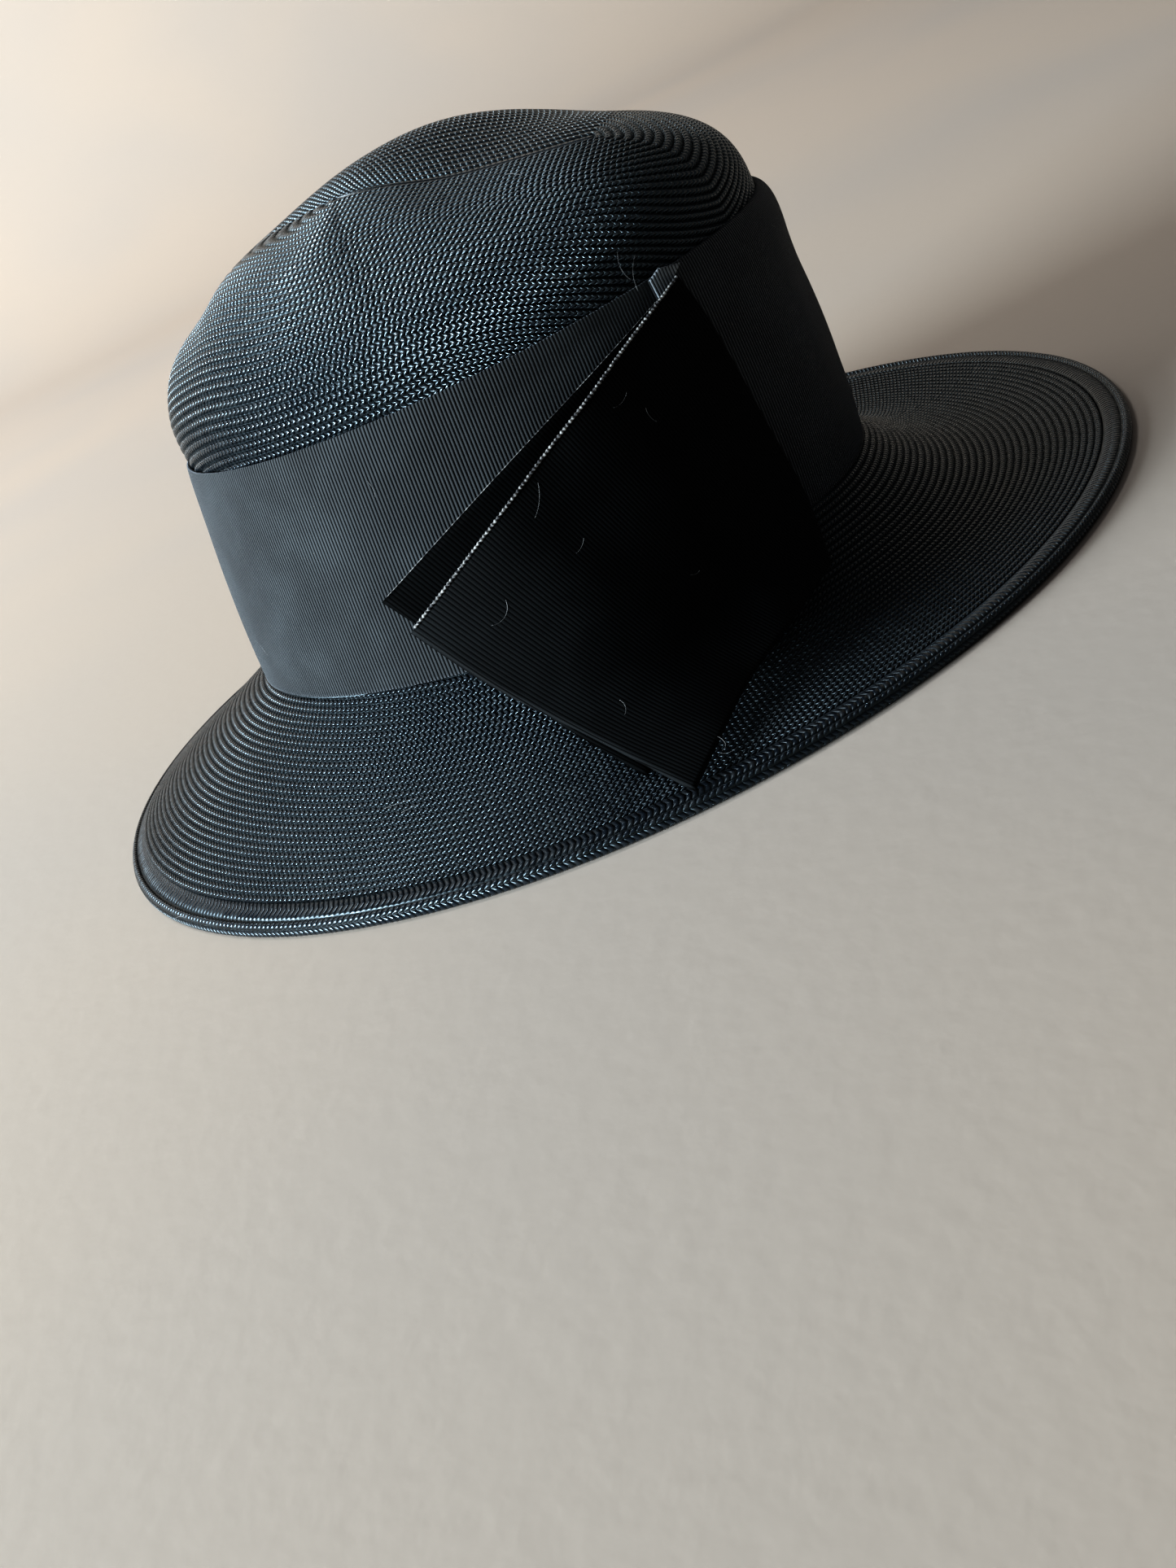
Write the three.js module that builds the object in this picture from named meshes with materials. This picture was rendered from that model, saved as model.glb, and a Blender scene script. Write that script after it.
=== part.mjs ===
// Picture hat: a sewn straw braid crown and a wide drooping brim with a rolled edge,
// a grosgrain ribbon round the crown and a flat folded bow on its left side.
// Millimetres, +Z up. The rim rests on z = 0 with its middle at x = 0, y = 0.
// The front of the hat is -X, the back +X, and the bow is on the -Y side.
import * as THREE from "three";

// Brim
const rimLength = 342.2; // along X
const rimWidth = 313.8; // along Y
const edgeWidth = 8; // rolled edge, in from the rim
const edgeThickness = 2.8;
const edgeFootWidth = 2.4; // flat strip that the hat rests on
const strawThickness = 2;

// Crown
const headLength = 201.4; // outside of the straw at the head line
const headWidth = 169.4;
const headShift = [-5.4, 2]; // middle of the head line from the middle of the rim
const headHeight = 28; // mean height of the head line over the rim
const crownLength = 187.4; // at the ribbon's upper edge
const crownWidth = 159;
const crownShift = [-2.2, 1.3];
const ribbonTop = 99.2; // height of the ribbon's upper edge over the rim
const domeHeight = 46; // crown over the ribbon's upper edge
const domeLean = [-0.06, 0.22]; // rise of the dome towards +X and +Y, as a share

// Ribbon and bow
const ribbonThickness = 1;
const bowThickness = 1.2;
const clearance = 0.3; // between pieces
const looseness = 3.5; // how far the crown's side swells under the ribbon

// Height of the head line round the hat, as shares of headHeight. Angles start at +X.
const headLine = [
  { at: 0, share: 0.73 },
  { at: 45, share: 0.875 },
  { at: 90, share: 1.02 },
  { at: 135, share: 1.09 },
  { at: 180, share: 1.18 },
  { at: 215, share: 1.11 },
  { at: 235, share: 1.02 },
  { at: 270, share: 0.84 },
  { at: 315, share: 0.69 },
];

// Fall of the brim in degrees: a bell at the sides and back, a drooping front.
const brimFall = [
  { at: 0, root: 50, rim: 0 },
  { at: 45, root: 46, rim: 4 },
  { at: 90, root: 42, rim: 8 },
  { at: 135, root: 34, rim: 26 },
  { at: 165, root: 22, rim: 38 },
  { at: 190, root: 24, rim: 36 },
  { at: 225, root: 40, rim: 16 },
  { at: 270, root: 46, rim: 8 },
  { at: 315, root: 48, rim: 2 },
];

// Fullness of the dome's shoulder: 2 is an ellipse, more is squarer.
const shoulder = [
  { at: 0, fullness: 2.2 },
  { at: 60, fullness: 2.8 },
  { at: 120, fullness: 2.33 },
  { at: 180, fullness: 2.11 },
  { at: 225, fullness: 1.95 },
  { at: 270, fullness: 2.17 },
  { at: 315, fullness: 3.0 },
];

// Swell of the crown's side under the ribbon, as shares of looseness.
const swell = [
  { at: 0, share: 1 },
  { at: 90, share: 0.4 },
  { at: 180, share: 0.3 },
  { at: 270, share: 0.2 },
  { at: 320, share: 0.8 },
];

// Dents of the dome. Places are shares of the crown's half length and half width,
// depth is a share of domeHeight, and sizes are shares of the crown's half length.
const dents = [
  { name: "front shoulder", x: -0.74, y: 0.34, depth: 0.04, long: 0.28, wide: 0.09, turn: 60 },
  { name: "front corner", x: -0.95, y: 0.3, depth: -0.03, long: 0.3, wide: 0.1, turn: 60 },
  { name: "upper front", x: -0.42, y: 0.1, depth: 0.025, long: 0.25, wide: 0.12, turn: 70 },
  { name: "soft ridge", x: -0.14, y: -0.1, depth: -0.025, long: 0.5, wide: 0.12, turn: 80 },
  { name: "tip hollow", x: 0.2, y: -0.28, depth: 0.045, long: 0.42, wide: 0.22, turn: 10 },
];

// Edges of the bow's layers. A point on the ribbon has its angle round the crown, its height
// as a share from head line to upper edge, and how far it stands off. A point over the brim
// has its share of the brim's width and its lift.
const frontFlap = {
  fold: [
    { on: "ribbon", at: 283.4, share: 0.974, off: 5.4 },
    { on: "ribbon", at: 285.6, share: 0.806, off: 5 },
    { on: "ribbon", at: 288.3, share: 0.379, off: 5 },
    { on: "ribbon", at: 289.6, share: 0.1, off: 6.6 },
    { on: "brim", at: 281.1, share: 0.307, off: 8.8 },
  ],
  cut: [
    { on: "ribbon", at: 227.6, share: 0.317, off: 20.7 },
    { on: "ribbon", at: 235.4, share: 0.087, off: 28.7 },
    { on: "brim", at: 243.8, share: 0.638, off: 11.9 },
    { on: "brim", at: 249.6, share: 0.975, off: 2.6 },
  ],
  left: [
    { on: "ribbon", at: 266.9, share: 0.842, off: 7.9 },
    { on: "ribbon", at: 252.6, share: 0.695, off: 13 },
    { on: "ribbon", at: 240, share: 0.524, off: 17.8 },
  ],
  right: [
    { on: "brim", at: 269.5, share: 0.461, off: 9 },
    { on: "brim", at: 260.9, share: 0.595, off: 6.8 },
    { on: "brim", at: 254.6, share: 0.785, off: 4.8 },
  ],
};
const underFlap = {
  fold: [
    { on: "ribbon", at: 282.8, share: 0.955, off: 3.4 },
    { on: "ribbon", at: 284.4, share: 0.788, off: 2.6 },
    { on: "ribbon", at: 286.4, share: 0.372, off: 2.5 },
    { on: "brim", at: 282.8, share: 0.13, off: 3 },
  ],
  cut: [
    { on: "ribbon", at: 221.8, share: 0.389, off: 6.1 },
    { on: "ribbon", at: 231, share: 0.158, off: 11.7 },
    { on: "brim", at: 240.8, share: 0.388, off: 6.2 },
    { on: "brim", at: 246.8, share: 0.75, off: 2 },
  ],
  left: [
    { on: "ribbon", at: 266.1, share: 0.85, off: 3.7 },
    { on: "ribbon", at: 243.8, share: 0.653, off: 4.9 },
  ],
  right: [{ on: "brim", at: 261, share: 0.372, off: 3.2 }],
};
const tab = {
  fold: [
    { on: "ribbon", at: 282.5, share: 0.99, off: 1.4 },
    { on: "ribbon", at: 286.5, share: 0.966, off: 1.4 },
  ],
  cut: [
    { on: "ribbon", at: 279.9, share: 0.985, off: 1.4 },
    { on: "ribbon", at: 279.6, share: 0.913, off: 1.4 },
  ],
  left: [],
  right: [],
};

// Facets
const aroundCount = 72;
const wallRows = 4;
const domeRows = 9;
const brimRows = 9;

const radians = THREE.MathUtils.degToRad;
const lerp = THREE.MathUtils.lerp;
const point = (x, y, z) => new THREE.Vector3(x, y, z);

// Smooth value of a table's column at an angle, going round.
function around(table, column, angle) {
  const turn = 2 * Math.PI;
  const a = ((angle % turn) + turn) % turn;
  const n = table.length;
  const at = (i) => radians(table[((i % n) + n) % n].at) + Math.floor(i / n) * turn;
  const value = (i) => table[((i % n) + n) % n][column];
  let i = n - 1;
  while (i > 0 && at(i) > a) i--;
  const slope = (k) => {
    const before = at(k) - at(k - 1);
    const after = at(k + 1) - at(k);
    const rise = ((value(k + 1) - value(k)) / after) * before;
    const fall = ((value(k) - value(k - 1)) / before) * after;
    return (rise + fall) / (before + after);
  };
  const span = at(i + 1) - at(i);
  const s = (a - at(i)) / span;
  return (
    (2 * s ** 3 - 3 * s ** 2 + 1) * value(i) +
    (s ** 3 - 2 * s ** 2 + s) * span * slope(i) +
    (3 * s ** 2 - 2 * s ** 3) * value(i + 1) +
    (s ** 3 - s ** 2) * span * slope(i + 1)
  );
}

// Oval of a length and width about a middle, with the outward direction.
function oval(length, width, middle, angle, height, grow = 0) {
  const c = Math.cos(angle);
  const s = Math.sin(angle);
  return point(
    middle[0] + (length / 2 + grow) * c,
    middle[1] + (width / 2 + grow) * s,
    height,
  );
}

const headHeightAt = (angle) => headHeight * around(headLine, "share", angle);
const ribbonGrow = clearance + ribbonThickness;

// Side of the crown from the head line (share 0) to the ribbon's upper edge (share 1).
function side(angle, share, grow = 0) {
  const foot = oval(headLength, headWidth, headShift, angle, headHeightAt(angle), grow);
  const top = oval(crownLength, crownWidth, crownShift, angle, ribbonTop, grow);
  const p = foot.lerp(top, share);
  const out = 4 * share * (1 - share) * looseness * around(swell, "share", angle);
  return p.addScaledVector(outward(angle), out);
}

// Level direction away from the crown's side.
function outward(angle) {
  const c = Math.cos(angle) / headLength;
  const s = Math.sin(angle) / headWidth;
  return point(c, s, 0).normalize();
}

// Point of the dome in a direction from the middle of the ribbon's upper edge.
function dome(angle, rise) {
  const rim = oval(crownLength, crownWidth, [0, 0], angle, 0);
  const plan = Math.atan2(rim.y, rim.x);
  const reach = Math.hypot(rim.x, rim.y);
  const dir = point(Math.cos(plan) * Math.cos(rise), Math.sin(plan) * Math.cos(rise), Math.sin(rise));
  const m = around(shoulder, "fullness", plan);
  const flat = Math.cos(rise) / reach;
  const scale = (height) => (flat ** m + (dir.z / height) ** m) ** (-1 / m);
  const first = scale(domeHeight);
  const leanX = (domeLean[0] * first * dir.x) / (crownLength / 2);
  const leanY = (domeLean[1] * first * dir.y) / (crownWidth / 2);
  let k = scale(domeHeight * (1 + leanX + leanY));
  const here = dir.clone().multiplyScalar(k);
  let sink = 0;
  for (const d of dents) {
    const dx = here.x - (d.x * crownLength) / 2;
    const dy = here.y - (d.y * crownWidth) / 2;
    const c = Math.cos(radians(d.turn));
    const s = Math.sin(radians(d.turn));
    const along = (dx * c + dy * s) / ((d.long * crownLength) / 2);
    const across = (dy * c - dx * s) / ((d.wide * crownLength) / 2);
    const edge = Math.min(1, here.z / (0.25 * domeHeight));
    sink += d.depth * domeHeight * edge * Math.exp(-along * along - across * across);
  }
  return dir.multiplyScalar(k - sink).add(point(crownShift[0], crownShift[1], ribbonTop));
}

// Top of the brim from the ribbon's foot (share 0) to the rim (share 1).
function brimTop(angle, share) {
  const z0 = headHeightAt(angle);
  const root = oval(headLength, headWidth, headShift, angle, z0, ribbonGrow);
  const rim = oval(rimLength, rimWidth, [0, 0], angle, 0);
  const width = Math.hypot(rim.x - root.x, rim.y - root.y);
  const steep = Math.tan(radians(around(brimFall, "root", angle))) * width;
  const droop = Math.tan(radians(around(brimFall, "rim", angle))) * width;
  const u = share;
  const p = root.clone().lerp(rim, u);
  p.z =
    z0 * (2 * u ** 3 - 3 * u ** 2 + 1) -
    steep * (u ** 3 - 2 * u ** 2 + u) -
    droop * (u ** 3 - u ** 2) +
    (u * edgeThickness) / 2;
  return p;
}

// Share of the brim's width where the rolled edge begins, less a distance further in.
function edgeShare(angle, inward = 0) {
  const root = oval(headLength, headWidth, headShift, angle, 0, ribbonGrow);
  const rim = oval(rimLength, rimWidth, [0, 0], angle, 0);
  return 1 - (edgeWidth + inward) / root.distanceTo(rim);
}

// Mesh of quads and fans from rows of points, each a vertex of its own.
function solid(name, material, quads, fans = []) {
  const xyz = [];
  const push = (...points) => points.forEach((p) => xyz.push(p.x, p.y, p.z));
  for (const [a, b, c, d] of quads) {
    push(a, b, c);
    push(a, c, d);
  }
  for (const [a, b, c] of fans) push(a, b, c);
  const geometry = new THREE.BufferGeometry();
  geometry.setAttribute("position", new THREE.Float32BufferAttribute(xyz, 3));
  geometry.computeVertexNormals();
  const mesh = new THREE.Mesh(geometry, material);
  mesh.name = name;
  return mesh;
}

// Grid of points moved along its normals. Rows go outwards or down, columns go round.
function offsetGrid(grid, distance, closed) {
  const rows = grid.length;
  const cols = grid[0].length;
  return grid.map((row, i) =>
    row.map((p, j) => {
      const left = closed ? row[(j + cols - 1) % cols] : row[Math.max(0, j - 1)];
      const right = closed ? row[(j + 1) % cols] : row[Math.min(cols - 1, j + 1)];
      const up = grid[Math.max(0, i - 1)][j];
      const down = grid[Math.min(rows - 1, i + 1)][j];
      const normal = right.clone().sub(left).cross(up.clone().sub(down)).normalize();
      return p.clone().addScaledVector(normal, distance);
    }),
  );
}

// Quads between two grids that share their layout, the first facing out.
function wallQuads(outer, inner, closed) {
  const quads = [];
  const rows = outer.length;
  const cols = outer[0].length;
  const last = closed ? cols : cols - 1;
  for (let j = 0; j < last; j++) {
    const k = (j + 1) % cols;
    for (let i = 0; i < rows - 1; i++) {
      quads.push([outer[i][j], outer[i + 1][j], outer[i + 1][k], outer[i][k]]);
      quads.push([inner[i][j], inner[i][k], inner[i + 1][k], inner[i + 1][j]]);
    }
    quads.push([outer[0][j], outer[0][k], inner[0][k], inner[0][j]]);
    const e = rows - 1;
    quads.push([outer[e][j], inner[e][j], inner[e][k], outer[e][k]]);
  }
  if (!closed) {
    for (let i = 0; i < rows - 1; i++) {
      const e = cols - 1;
      quads.push([outer[i][0], inner[i][0], inner[i + 1][0], outer[i + 1][0]]);
      quads.push([outer[i][e], outer[i + 1][e], inner[i + 1][e], inner[i][e]]);
    }
  }
  return quads;
}

const angles = Array.from({ length: aroundCount }, (_, j) => (j / aroundCount) * 2 * Math.PI);
const steps = (count) => Array.from({ length: count + 1 }, (_, i) => i / count);

// Crown: open below, closed at the tip.
function crown(material) {
  const rises = steps(domeRows).slice(1, -1);
  const dips = rises.map((s) => radians(90) * (1 - s)); // from near the tip down
  const outer = [
    ...dips.map((rise) => angles.map((a) => dome(a, rise))),
    ...steps(wallRows).map((s) => angles.map((a) => side(a, 1 - s))),
  ];
  outer[outer.length - 1].forEach((p) => (p.z += clearance));
  const inner = offsetGrid(outer, -strawThickness, true);
  inner[inner.length - 1].forEach((p, j) => (p.z = outer[outer.length - 1][j].z));
  const tip = dome(0, radians(90));
  const under = tip.clone().setZ(tip.z - strawThickness);
  const first = new Set([...outer[0], ...inner[0]]);
  const quads = wallQuads(outer, inner, true).filter((q) => !q.every((p) => first.has(p)));
  const fans = [];
  for (let j = 0; j < aroundCount; j++) {
    const k = (j + 1) % aroundCount;
    fans.push([tip, outer[0][j], outer[0][k]]);
    fans.push([under, inner[0][k], inner[0][j]]);
  }
  return solid("crown", material, quads, fans);
}

// Brim: a flat collar under the crown's foot, then the bell out to the rolled edge.
function brim(material) {
  const collar = angles.map((a) =>
    oval(headLength, headWidth, headShift, a, headHeightAt(a), -strawThickness),
  );
  const rows = steps(brimRows).map((s) =>
    angles.map((a) => brimTop(a, s * edgeShare(a, clearance))),
  );
  const top = [collar, ...rows];
  const bottom = offsetGrid(top, -strawThickness, true);
  return solid("brim", material, wallQuads(top, bottom, true));
}

// Rolled edge: a ring whose foot is flat on the floor.
function brimEdge(material) {
  const half = edgeThickness / 2;
  const section = (angle) => {
    const rim = oval(rimLength, rimWidth, [0, 0], angle, 0);
    const inner = brimTop(angle, edgeShare(angle));
    const inward = inner.clone().sub(rim).setZ(0).normalize();
    const at = (distance, z) => rim.clone().addScaledVector(inward, distance).setZ(z);
    const high = (distance) => half + ((inner.z - half) * distance) / edgeWidth;
    return [
      at(0, 0),
      at(0.15 * edgeWidth, high(0.15 * edgeWidth)),
      at(0.5 * edgeWidth, high(0.5 * edgeWidth) + 0.15 * half),
      at(edgeWidth, inner.z),
      at(edgeWidth, inner.z - strawThickness),
      at(0.08 * edgeWidth + edgeFootWidth, -half),
      at(0.08 * edgeWidth, -half),
    ];
  };
  const sections = angles.map(section);
  const quads = [];
  sections.forEach((s, j) => {
    const next = sections[(j + 1) % aroundCount];
    s.forEach((p, i) => {
      const k = (i + 1) % s.length;
      quads.push([p, next[i], next[k], s[k]]);
    });
  });
  return solid("brim_edge", material, quads);
}

// Ribbon round the crown.
function hatBand(material) {
  const rows = steps(wallRows).map((s) => angles.map((a) => side(a, 1 - s, ribbonGrow)));
  const inner = steps(wallRows).map((s) => angles.map((a) => side(a, 1 - s, clearance)));
  for (const grid of [rows, inner]) grid[wallRows].forEach((p) => (p.z += clearance));
  return solid("hat_band", material, wallQuads(rows, inner, true));
}

// Place of a row of a bow table.
function place({ on, at, share, off }) {
  const angle = radians(at);
  if (on === "brim") return brimTop(angle, share).add(point(0, 0, off));
  return side(angle, share, ribbonGrow).addScaledVector(outward(angle), off);
}

// Layer of the bow: a smooth patch between its fold, its cut end and its two edges.
function layer(name, table, material, rows, cols) {
  const curve = (list) => new THREE.CatmullRomCurve3(list.map(place), false, "centripetal");
  const fold = curve(table.fold);
  const cut = curve(table.cut);
  const left = curve([table.fold[0], ...table.left, table.cut[0]]);
  const right = curve([table.fold.at(-1), ...table.right, table.cut.at(-1)]);
  const corners = [fold.getPoint(0), fold.getPoint(1), cut.getPoint(0), cut.getPoint(1)];
  const grid = steps(rows).map((v) =>
    steps(cols).map((u) => {
      const p = point(0, 0, 0);
      p.addScaledVector(fold.getPointAt(u), 1 - v).addScaledVector(cut.getPointAt(u), v);
      p.addScaledVector(left.getPointAt(v), 1 - u).addScaledVector(right.getPointAt(v), u);
      const weights = [(1 - u) * (1 - v), u * (1 - v), (1 - u) * v, u * v];
      corners.forEach((q, i) => p.addScaledVector(q, -weights[i]));
      return p;
    }),
  );
  const under = offsetGrid(grid, -(name === "bow_tab" ? ribbonThickness : bowThickness), false);
  return solid(name, material, wallQuads(grid, under, false));
}

const straw = (colour) =>
  new THREE.MeshStandardMaterial({ color: colour, roughness: 0.38, metalness: 0 });
const ribbon = (colour) =>
  new THREE.MeshStandardMaterial({ color: colour, roughness: 0.62, metalness: 0 });

const hat = new THREE.Group();
hat.position.z = edgeThickness / 2;
hat.add(
  crown(straw(0x15181d)),
  brim(straw(0x14171b)),
  brimEdge(straw(0x121519)),
  hatBand(ribbon(0x171a1e)),
  layer("bow_front_flap", frontFlap, ribbon(0x0f1114), 11, 9),
  layer("bow_under_flap", underFlap, ribbon(0x111316), 9, 7),
  layer("bow_tab", tab, ribbon(0x2a2d31), 2, 2),
);
const group = new THREE.Group();
group.add(hat);
export default group;
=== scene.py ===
"""Picture hat: a sewn straw braid crown and brim, a grosgrain band and a folded ribbon bow.

Metres, +Z up. The rim rests on the floor, the front of the hat is -X, and the bow is on the -Y side.
"""

import math

import bmesh
import bpy
import numpy as np
from bpy.props import FloatProperty, FloatVectorProperty, IntProperty, PointerProperty
from mathutils import Matrix, Vector
from mathutils.bvhtree import BVHTree


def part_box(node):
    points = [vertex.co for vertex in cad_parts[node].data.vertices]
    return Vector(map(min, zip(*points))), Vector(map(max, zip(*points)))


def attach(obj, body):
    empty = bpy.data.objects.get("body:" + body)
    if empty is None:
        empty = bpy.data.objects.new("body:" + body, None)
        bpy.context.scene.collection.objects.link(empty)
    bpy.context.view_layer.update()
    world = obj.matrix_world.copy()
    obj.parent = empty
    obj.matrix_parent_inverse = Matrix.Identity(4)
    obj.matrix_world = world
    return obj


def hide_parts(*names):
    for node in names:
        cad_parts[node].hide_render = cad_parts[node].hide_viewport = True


bl_info = {
    "name": "Picture Hat",
    "version": (1, 0, 0),
    "blender": (4, 5, 0),
    "location": "View3D > Sidebar > Picture Hat",
    "description": "Builds a sewn straw hat with a ribbon band and a folded bow",
    "category": "Object",
}

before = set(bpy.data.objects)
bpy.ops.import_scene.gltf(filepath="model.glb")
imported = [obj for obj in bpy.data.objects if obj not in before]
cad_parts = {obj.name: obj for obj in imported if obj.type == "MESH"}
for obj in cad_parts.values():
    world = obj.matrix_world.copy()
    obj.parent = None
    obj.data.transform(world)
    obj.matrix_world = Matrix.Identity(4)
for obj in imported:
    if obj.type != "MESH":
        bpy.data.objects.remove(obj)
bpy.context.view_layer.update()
EDGE_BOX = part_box("brim_edge")
BAND_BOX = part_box("hat_band")

MM = 0.001
TURN = 2 * math.pi

# Photograph and camera. The camera's axes are its right, down and forward directions.
PHOTO_WIDTH = 1445
PHOTO_HEIGHT = 1927
FOCAL_PIXELS = 2100
SENSOR = 36
CAMERA_PLACE = (-192.8 * MM, -481.4 * MM, 182.9 * MM)
CAMERA_RIGHT = (0.79454, -0.4539, -0.40333)
CAMERA_DOWN = (-0.53639, -0.21334, -0.81656)
CAMERA_FORWARD = (0.28459, 0.86513, -0.41298)

# Height of the head line round the hat, as (degrees, share of the mean height).
HEAD_LINE = [
    (0, 0.73), (45, 0.875), (90, 1.02), (135, 1.09), (180, 1.18),
    (215, 1.11), (235, 1.02), (270, 0.84), (315, 0.69),
]
# Fall of the brim at its root and at its rim, as (degrees round, degrees down).
ROOT_FALL = [
    (0, 50), (45, 46), (90, 42), (135, 34), (165, 22), (190, 24), (225, 40), (270, 46), (315, 48),
]
RIM_FALL = [
    (0, 0), (45, 4), (90, 8), (135, 26), (165, 38), (190, 36), (225, 16), (270, 8), (315, 2),
]
# Fullness of the dome's shoulder: 2 is an ellipse, more is squarer.
SHOULDER = [(0, 2.2), (60, 2.8), (120, 2.33), (180, 2.11), (225, 1.95), (270, 2.17), (315, 3.0)]
# Swell of the crown's side under the band, as (degrees, share of the looseness).
SWELL = [(0, 1), (90, 0.4), (180, 0.3), (270, 0.2), (320, 0.8)]
# Dents: place as shares of the half length and half width, depth as a share of the dome's
# height, long and wide as shares of the half length, and turn in degrees.
DENT_COLUMNS = ("x", "y", "depth", "long", "wide", "turn")
DENTS = {
    "front shoulder": (-0.74, 0.34, 0.045, 0.28, 0.09, 60),
    "front corner": (-0.84, 0.33, -0.055, 0.3, 0.1, 60),
    "upper front": (-0.42, 0.1, 0.05, 0.25, 0.12, 70),
    "soft ridge": (-0.14, -0.1, -0.01, 0.5, 0.12, 80),
    "tip hollow": (0.2, -0.28, 0.045, 0.42, 0.22, 10),
    "back crest": (0.3, 0.35, -0.12, 0.45, 0.3, 0),
}
DENT_FADE = 0.25  # share of the dome's height over the band in which the dents fade in
# Line of the first row of braid at the tip, as shares of the crown's half length and width.
BRAID_START = [(0.42, -0.6), (0.25, -0.5), (0.05, -0.3), (-0.18, 0.03)]

# Soft shape of the band: how far its upper edge stands off, as (degrees, share of the curl).
BAND_STAND = [
    (0, 0.9), (14, 0.35), (30, 0.1), (90, 0.05), (180, 0.05), (240, 0.12), (300, 0.25),
    (340, 0.8), (352, 1),
]
# Creases in the band: middle in degrees and share of its width, depth and half sizes in millimetres.
BAND_CREASES = [
    {"at": 262, "share": 0.84, "depth": 1.5, "long": 30, "wide": 4.5, "slant": 0.02},
    {"at": 271, "share": 0.9, "depth": 0.8, "long": 12, "wide": 3.5, "slant": 0.0},
    {"at": 196, "share": 0.3, "depth": 1.0, "long": 22, "wide": 14, "slant": 0.1},
    {"at": 330, "share": 0.55, "depth": 0.9, "long": 16, "wide": 22, "slant": 0.0},
]

# Edges of the bow's layers, each row a surface, degrees round the hat, share and millimetres: on
# the ribbon a share of the band's height and a stand-off, over the brim a share of its width and
# a lift.
FRONT_FLAP = {
    "fold": [
        ("ribbon", 283.4, 0.974, 5.4), ("ribbon", 285.6, 0.806, 5), ("ribbon", 288.3, 0.379, 5),
        ("ribbon", 289.6, 0.1, 6.6), ("brim", 281.1, 0.307, 8.8),
    ],
    "cut": [
        ("ribbon", 227.6, 0.317, 20.7), ("ribbon", 235.4, 0.087, 28.7),
        ("brim", 243.8, 0.638, 11.9), ("brim", 249.6, 0.975, 2.6),
    ],
    "left": [("ribbon", 266.9, 0.842, 7.9), ("ribbon", 252.6, 0.695, 13), ("ribbon", 240, 0.524, 17.8)],
    "right": [("brim", 269.5, 0.461, 9), ("brim", 260.9, 0.595, 6.8), ("brim", 254.6, 0.785, 4.8)],
}
UNDER_FLAP = {
    "fold": [
        ("ribbon", 282.8, 0.955, 3.4), ("ribbon", 284.4, 0.788, 2.6),
        ("ribbon", 286.4, 0.372, 2.5), ("brim", 282.8, 0.13, 3),
    ],
    "cut": [
        ("ribbon", 221.8, 0.389, 6.1), ("ribbon", 231, 0.158, 11.7),
        ("brim", 240.8, 0.388, 6.2), ("brim", 246.8, 0.75, 2),
    ],
    "left": [("ribbon", 266.1, 0.85, 3.7), ("ribbon", 243.8, 0.653, 4.9)],
    "right": [("brim", 261, 0.372, 3.2)],
}
TAB = {
    "fold": [("ribbon", 282.2, 1.02, 3), ("ribbon", 286.3, 1.0, 3.2)],
    "cut": [("ribbon", 279.7, 1.0, 2.4), ("ribbon", 279.9, 0.905, 2.6)],
    "left": [],
    "right": [],
}

# Lint and thread ends: pixel in the photograph, length in millimetres, direction in degrees in
# the picture, curl in degrees and how far the loose end lifts off in millimetres.
LINT_COLUMNS = ("x", "y", "long", "turn", "curl", "lift")
LINT = [
    (664, 318, 13, 70, 120, 1.2), (676, 340, 8, 20, -70, 0.8),
    (660, 590, 10, 75, 40, 1.0), (470, 995, 11, -8, 12, 0.3),
    (492, 1000, 6, -20, 20, 0.4), (620, 735, 9, 60, 110, 0.8),
    (560, 660, 6, -40, 60, 0.5), (770, 480, 7, 100, 60, 0.6),
    (793, 500, 5, 80, -60, 0.6), (717, 660, 5, 90, 50, 0.6),
    (880, 905, 7, 30, 100, 1.4), (884, 925, 6, 60, -80, 1.2),
    (777, 345, 9, 200, 60, 1.2), (785, 360, 10, 235, 50, 1.0),
    (540, 270, 6, 15, 60, 0.6), (620, 215, 8, 20, 50, 0.6),
    (228, 1128, 7, 190, -50, 0.6), (330, 806, 6, 200, 60, 1.5),
    (946, 276, 4, 330, 60, 1.2), (450, 590, 5, 40, 40, 0.5),
    (860, 700, 4, 120, 60, 0.5), (760, 860, 5, 30, 80, 0.5),
]


def a_length(name, about, size):
    """Setting for a length."""
    return FloatProperty(name=name, description=about, unit="LENGTH", default=size)


def a_number(name, about, value):
    """Setting for a plain number."""
    return FloatProperty(name=name, description=about, default=value)


def a_pair(name, about, value):
    """Setting for two values, along X and Y."""
    return FloatVectorProperty(name=name, description=about, size=2, default=value)


def a_colour(name, about, value):
    """Setting for a colour."""
    return FloatVectorProperty(name=name, description=about, subtype="COLOR", size=3, default=value)


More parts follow.
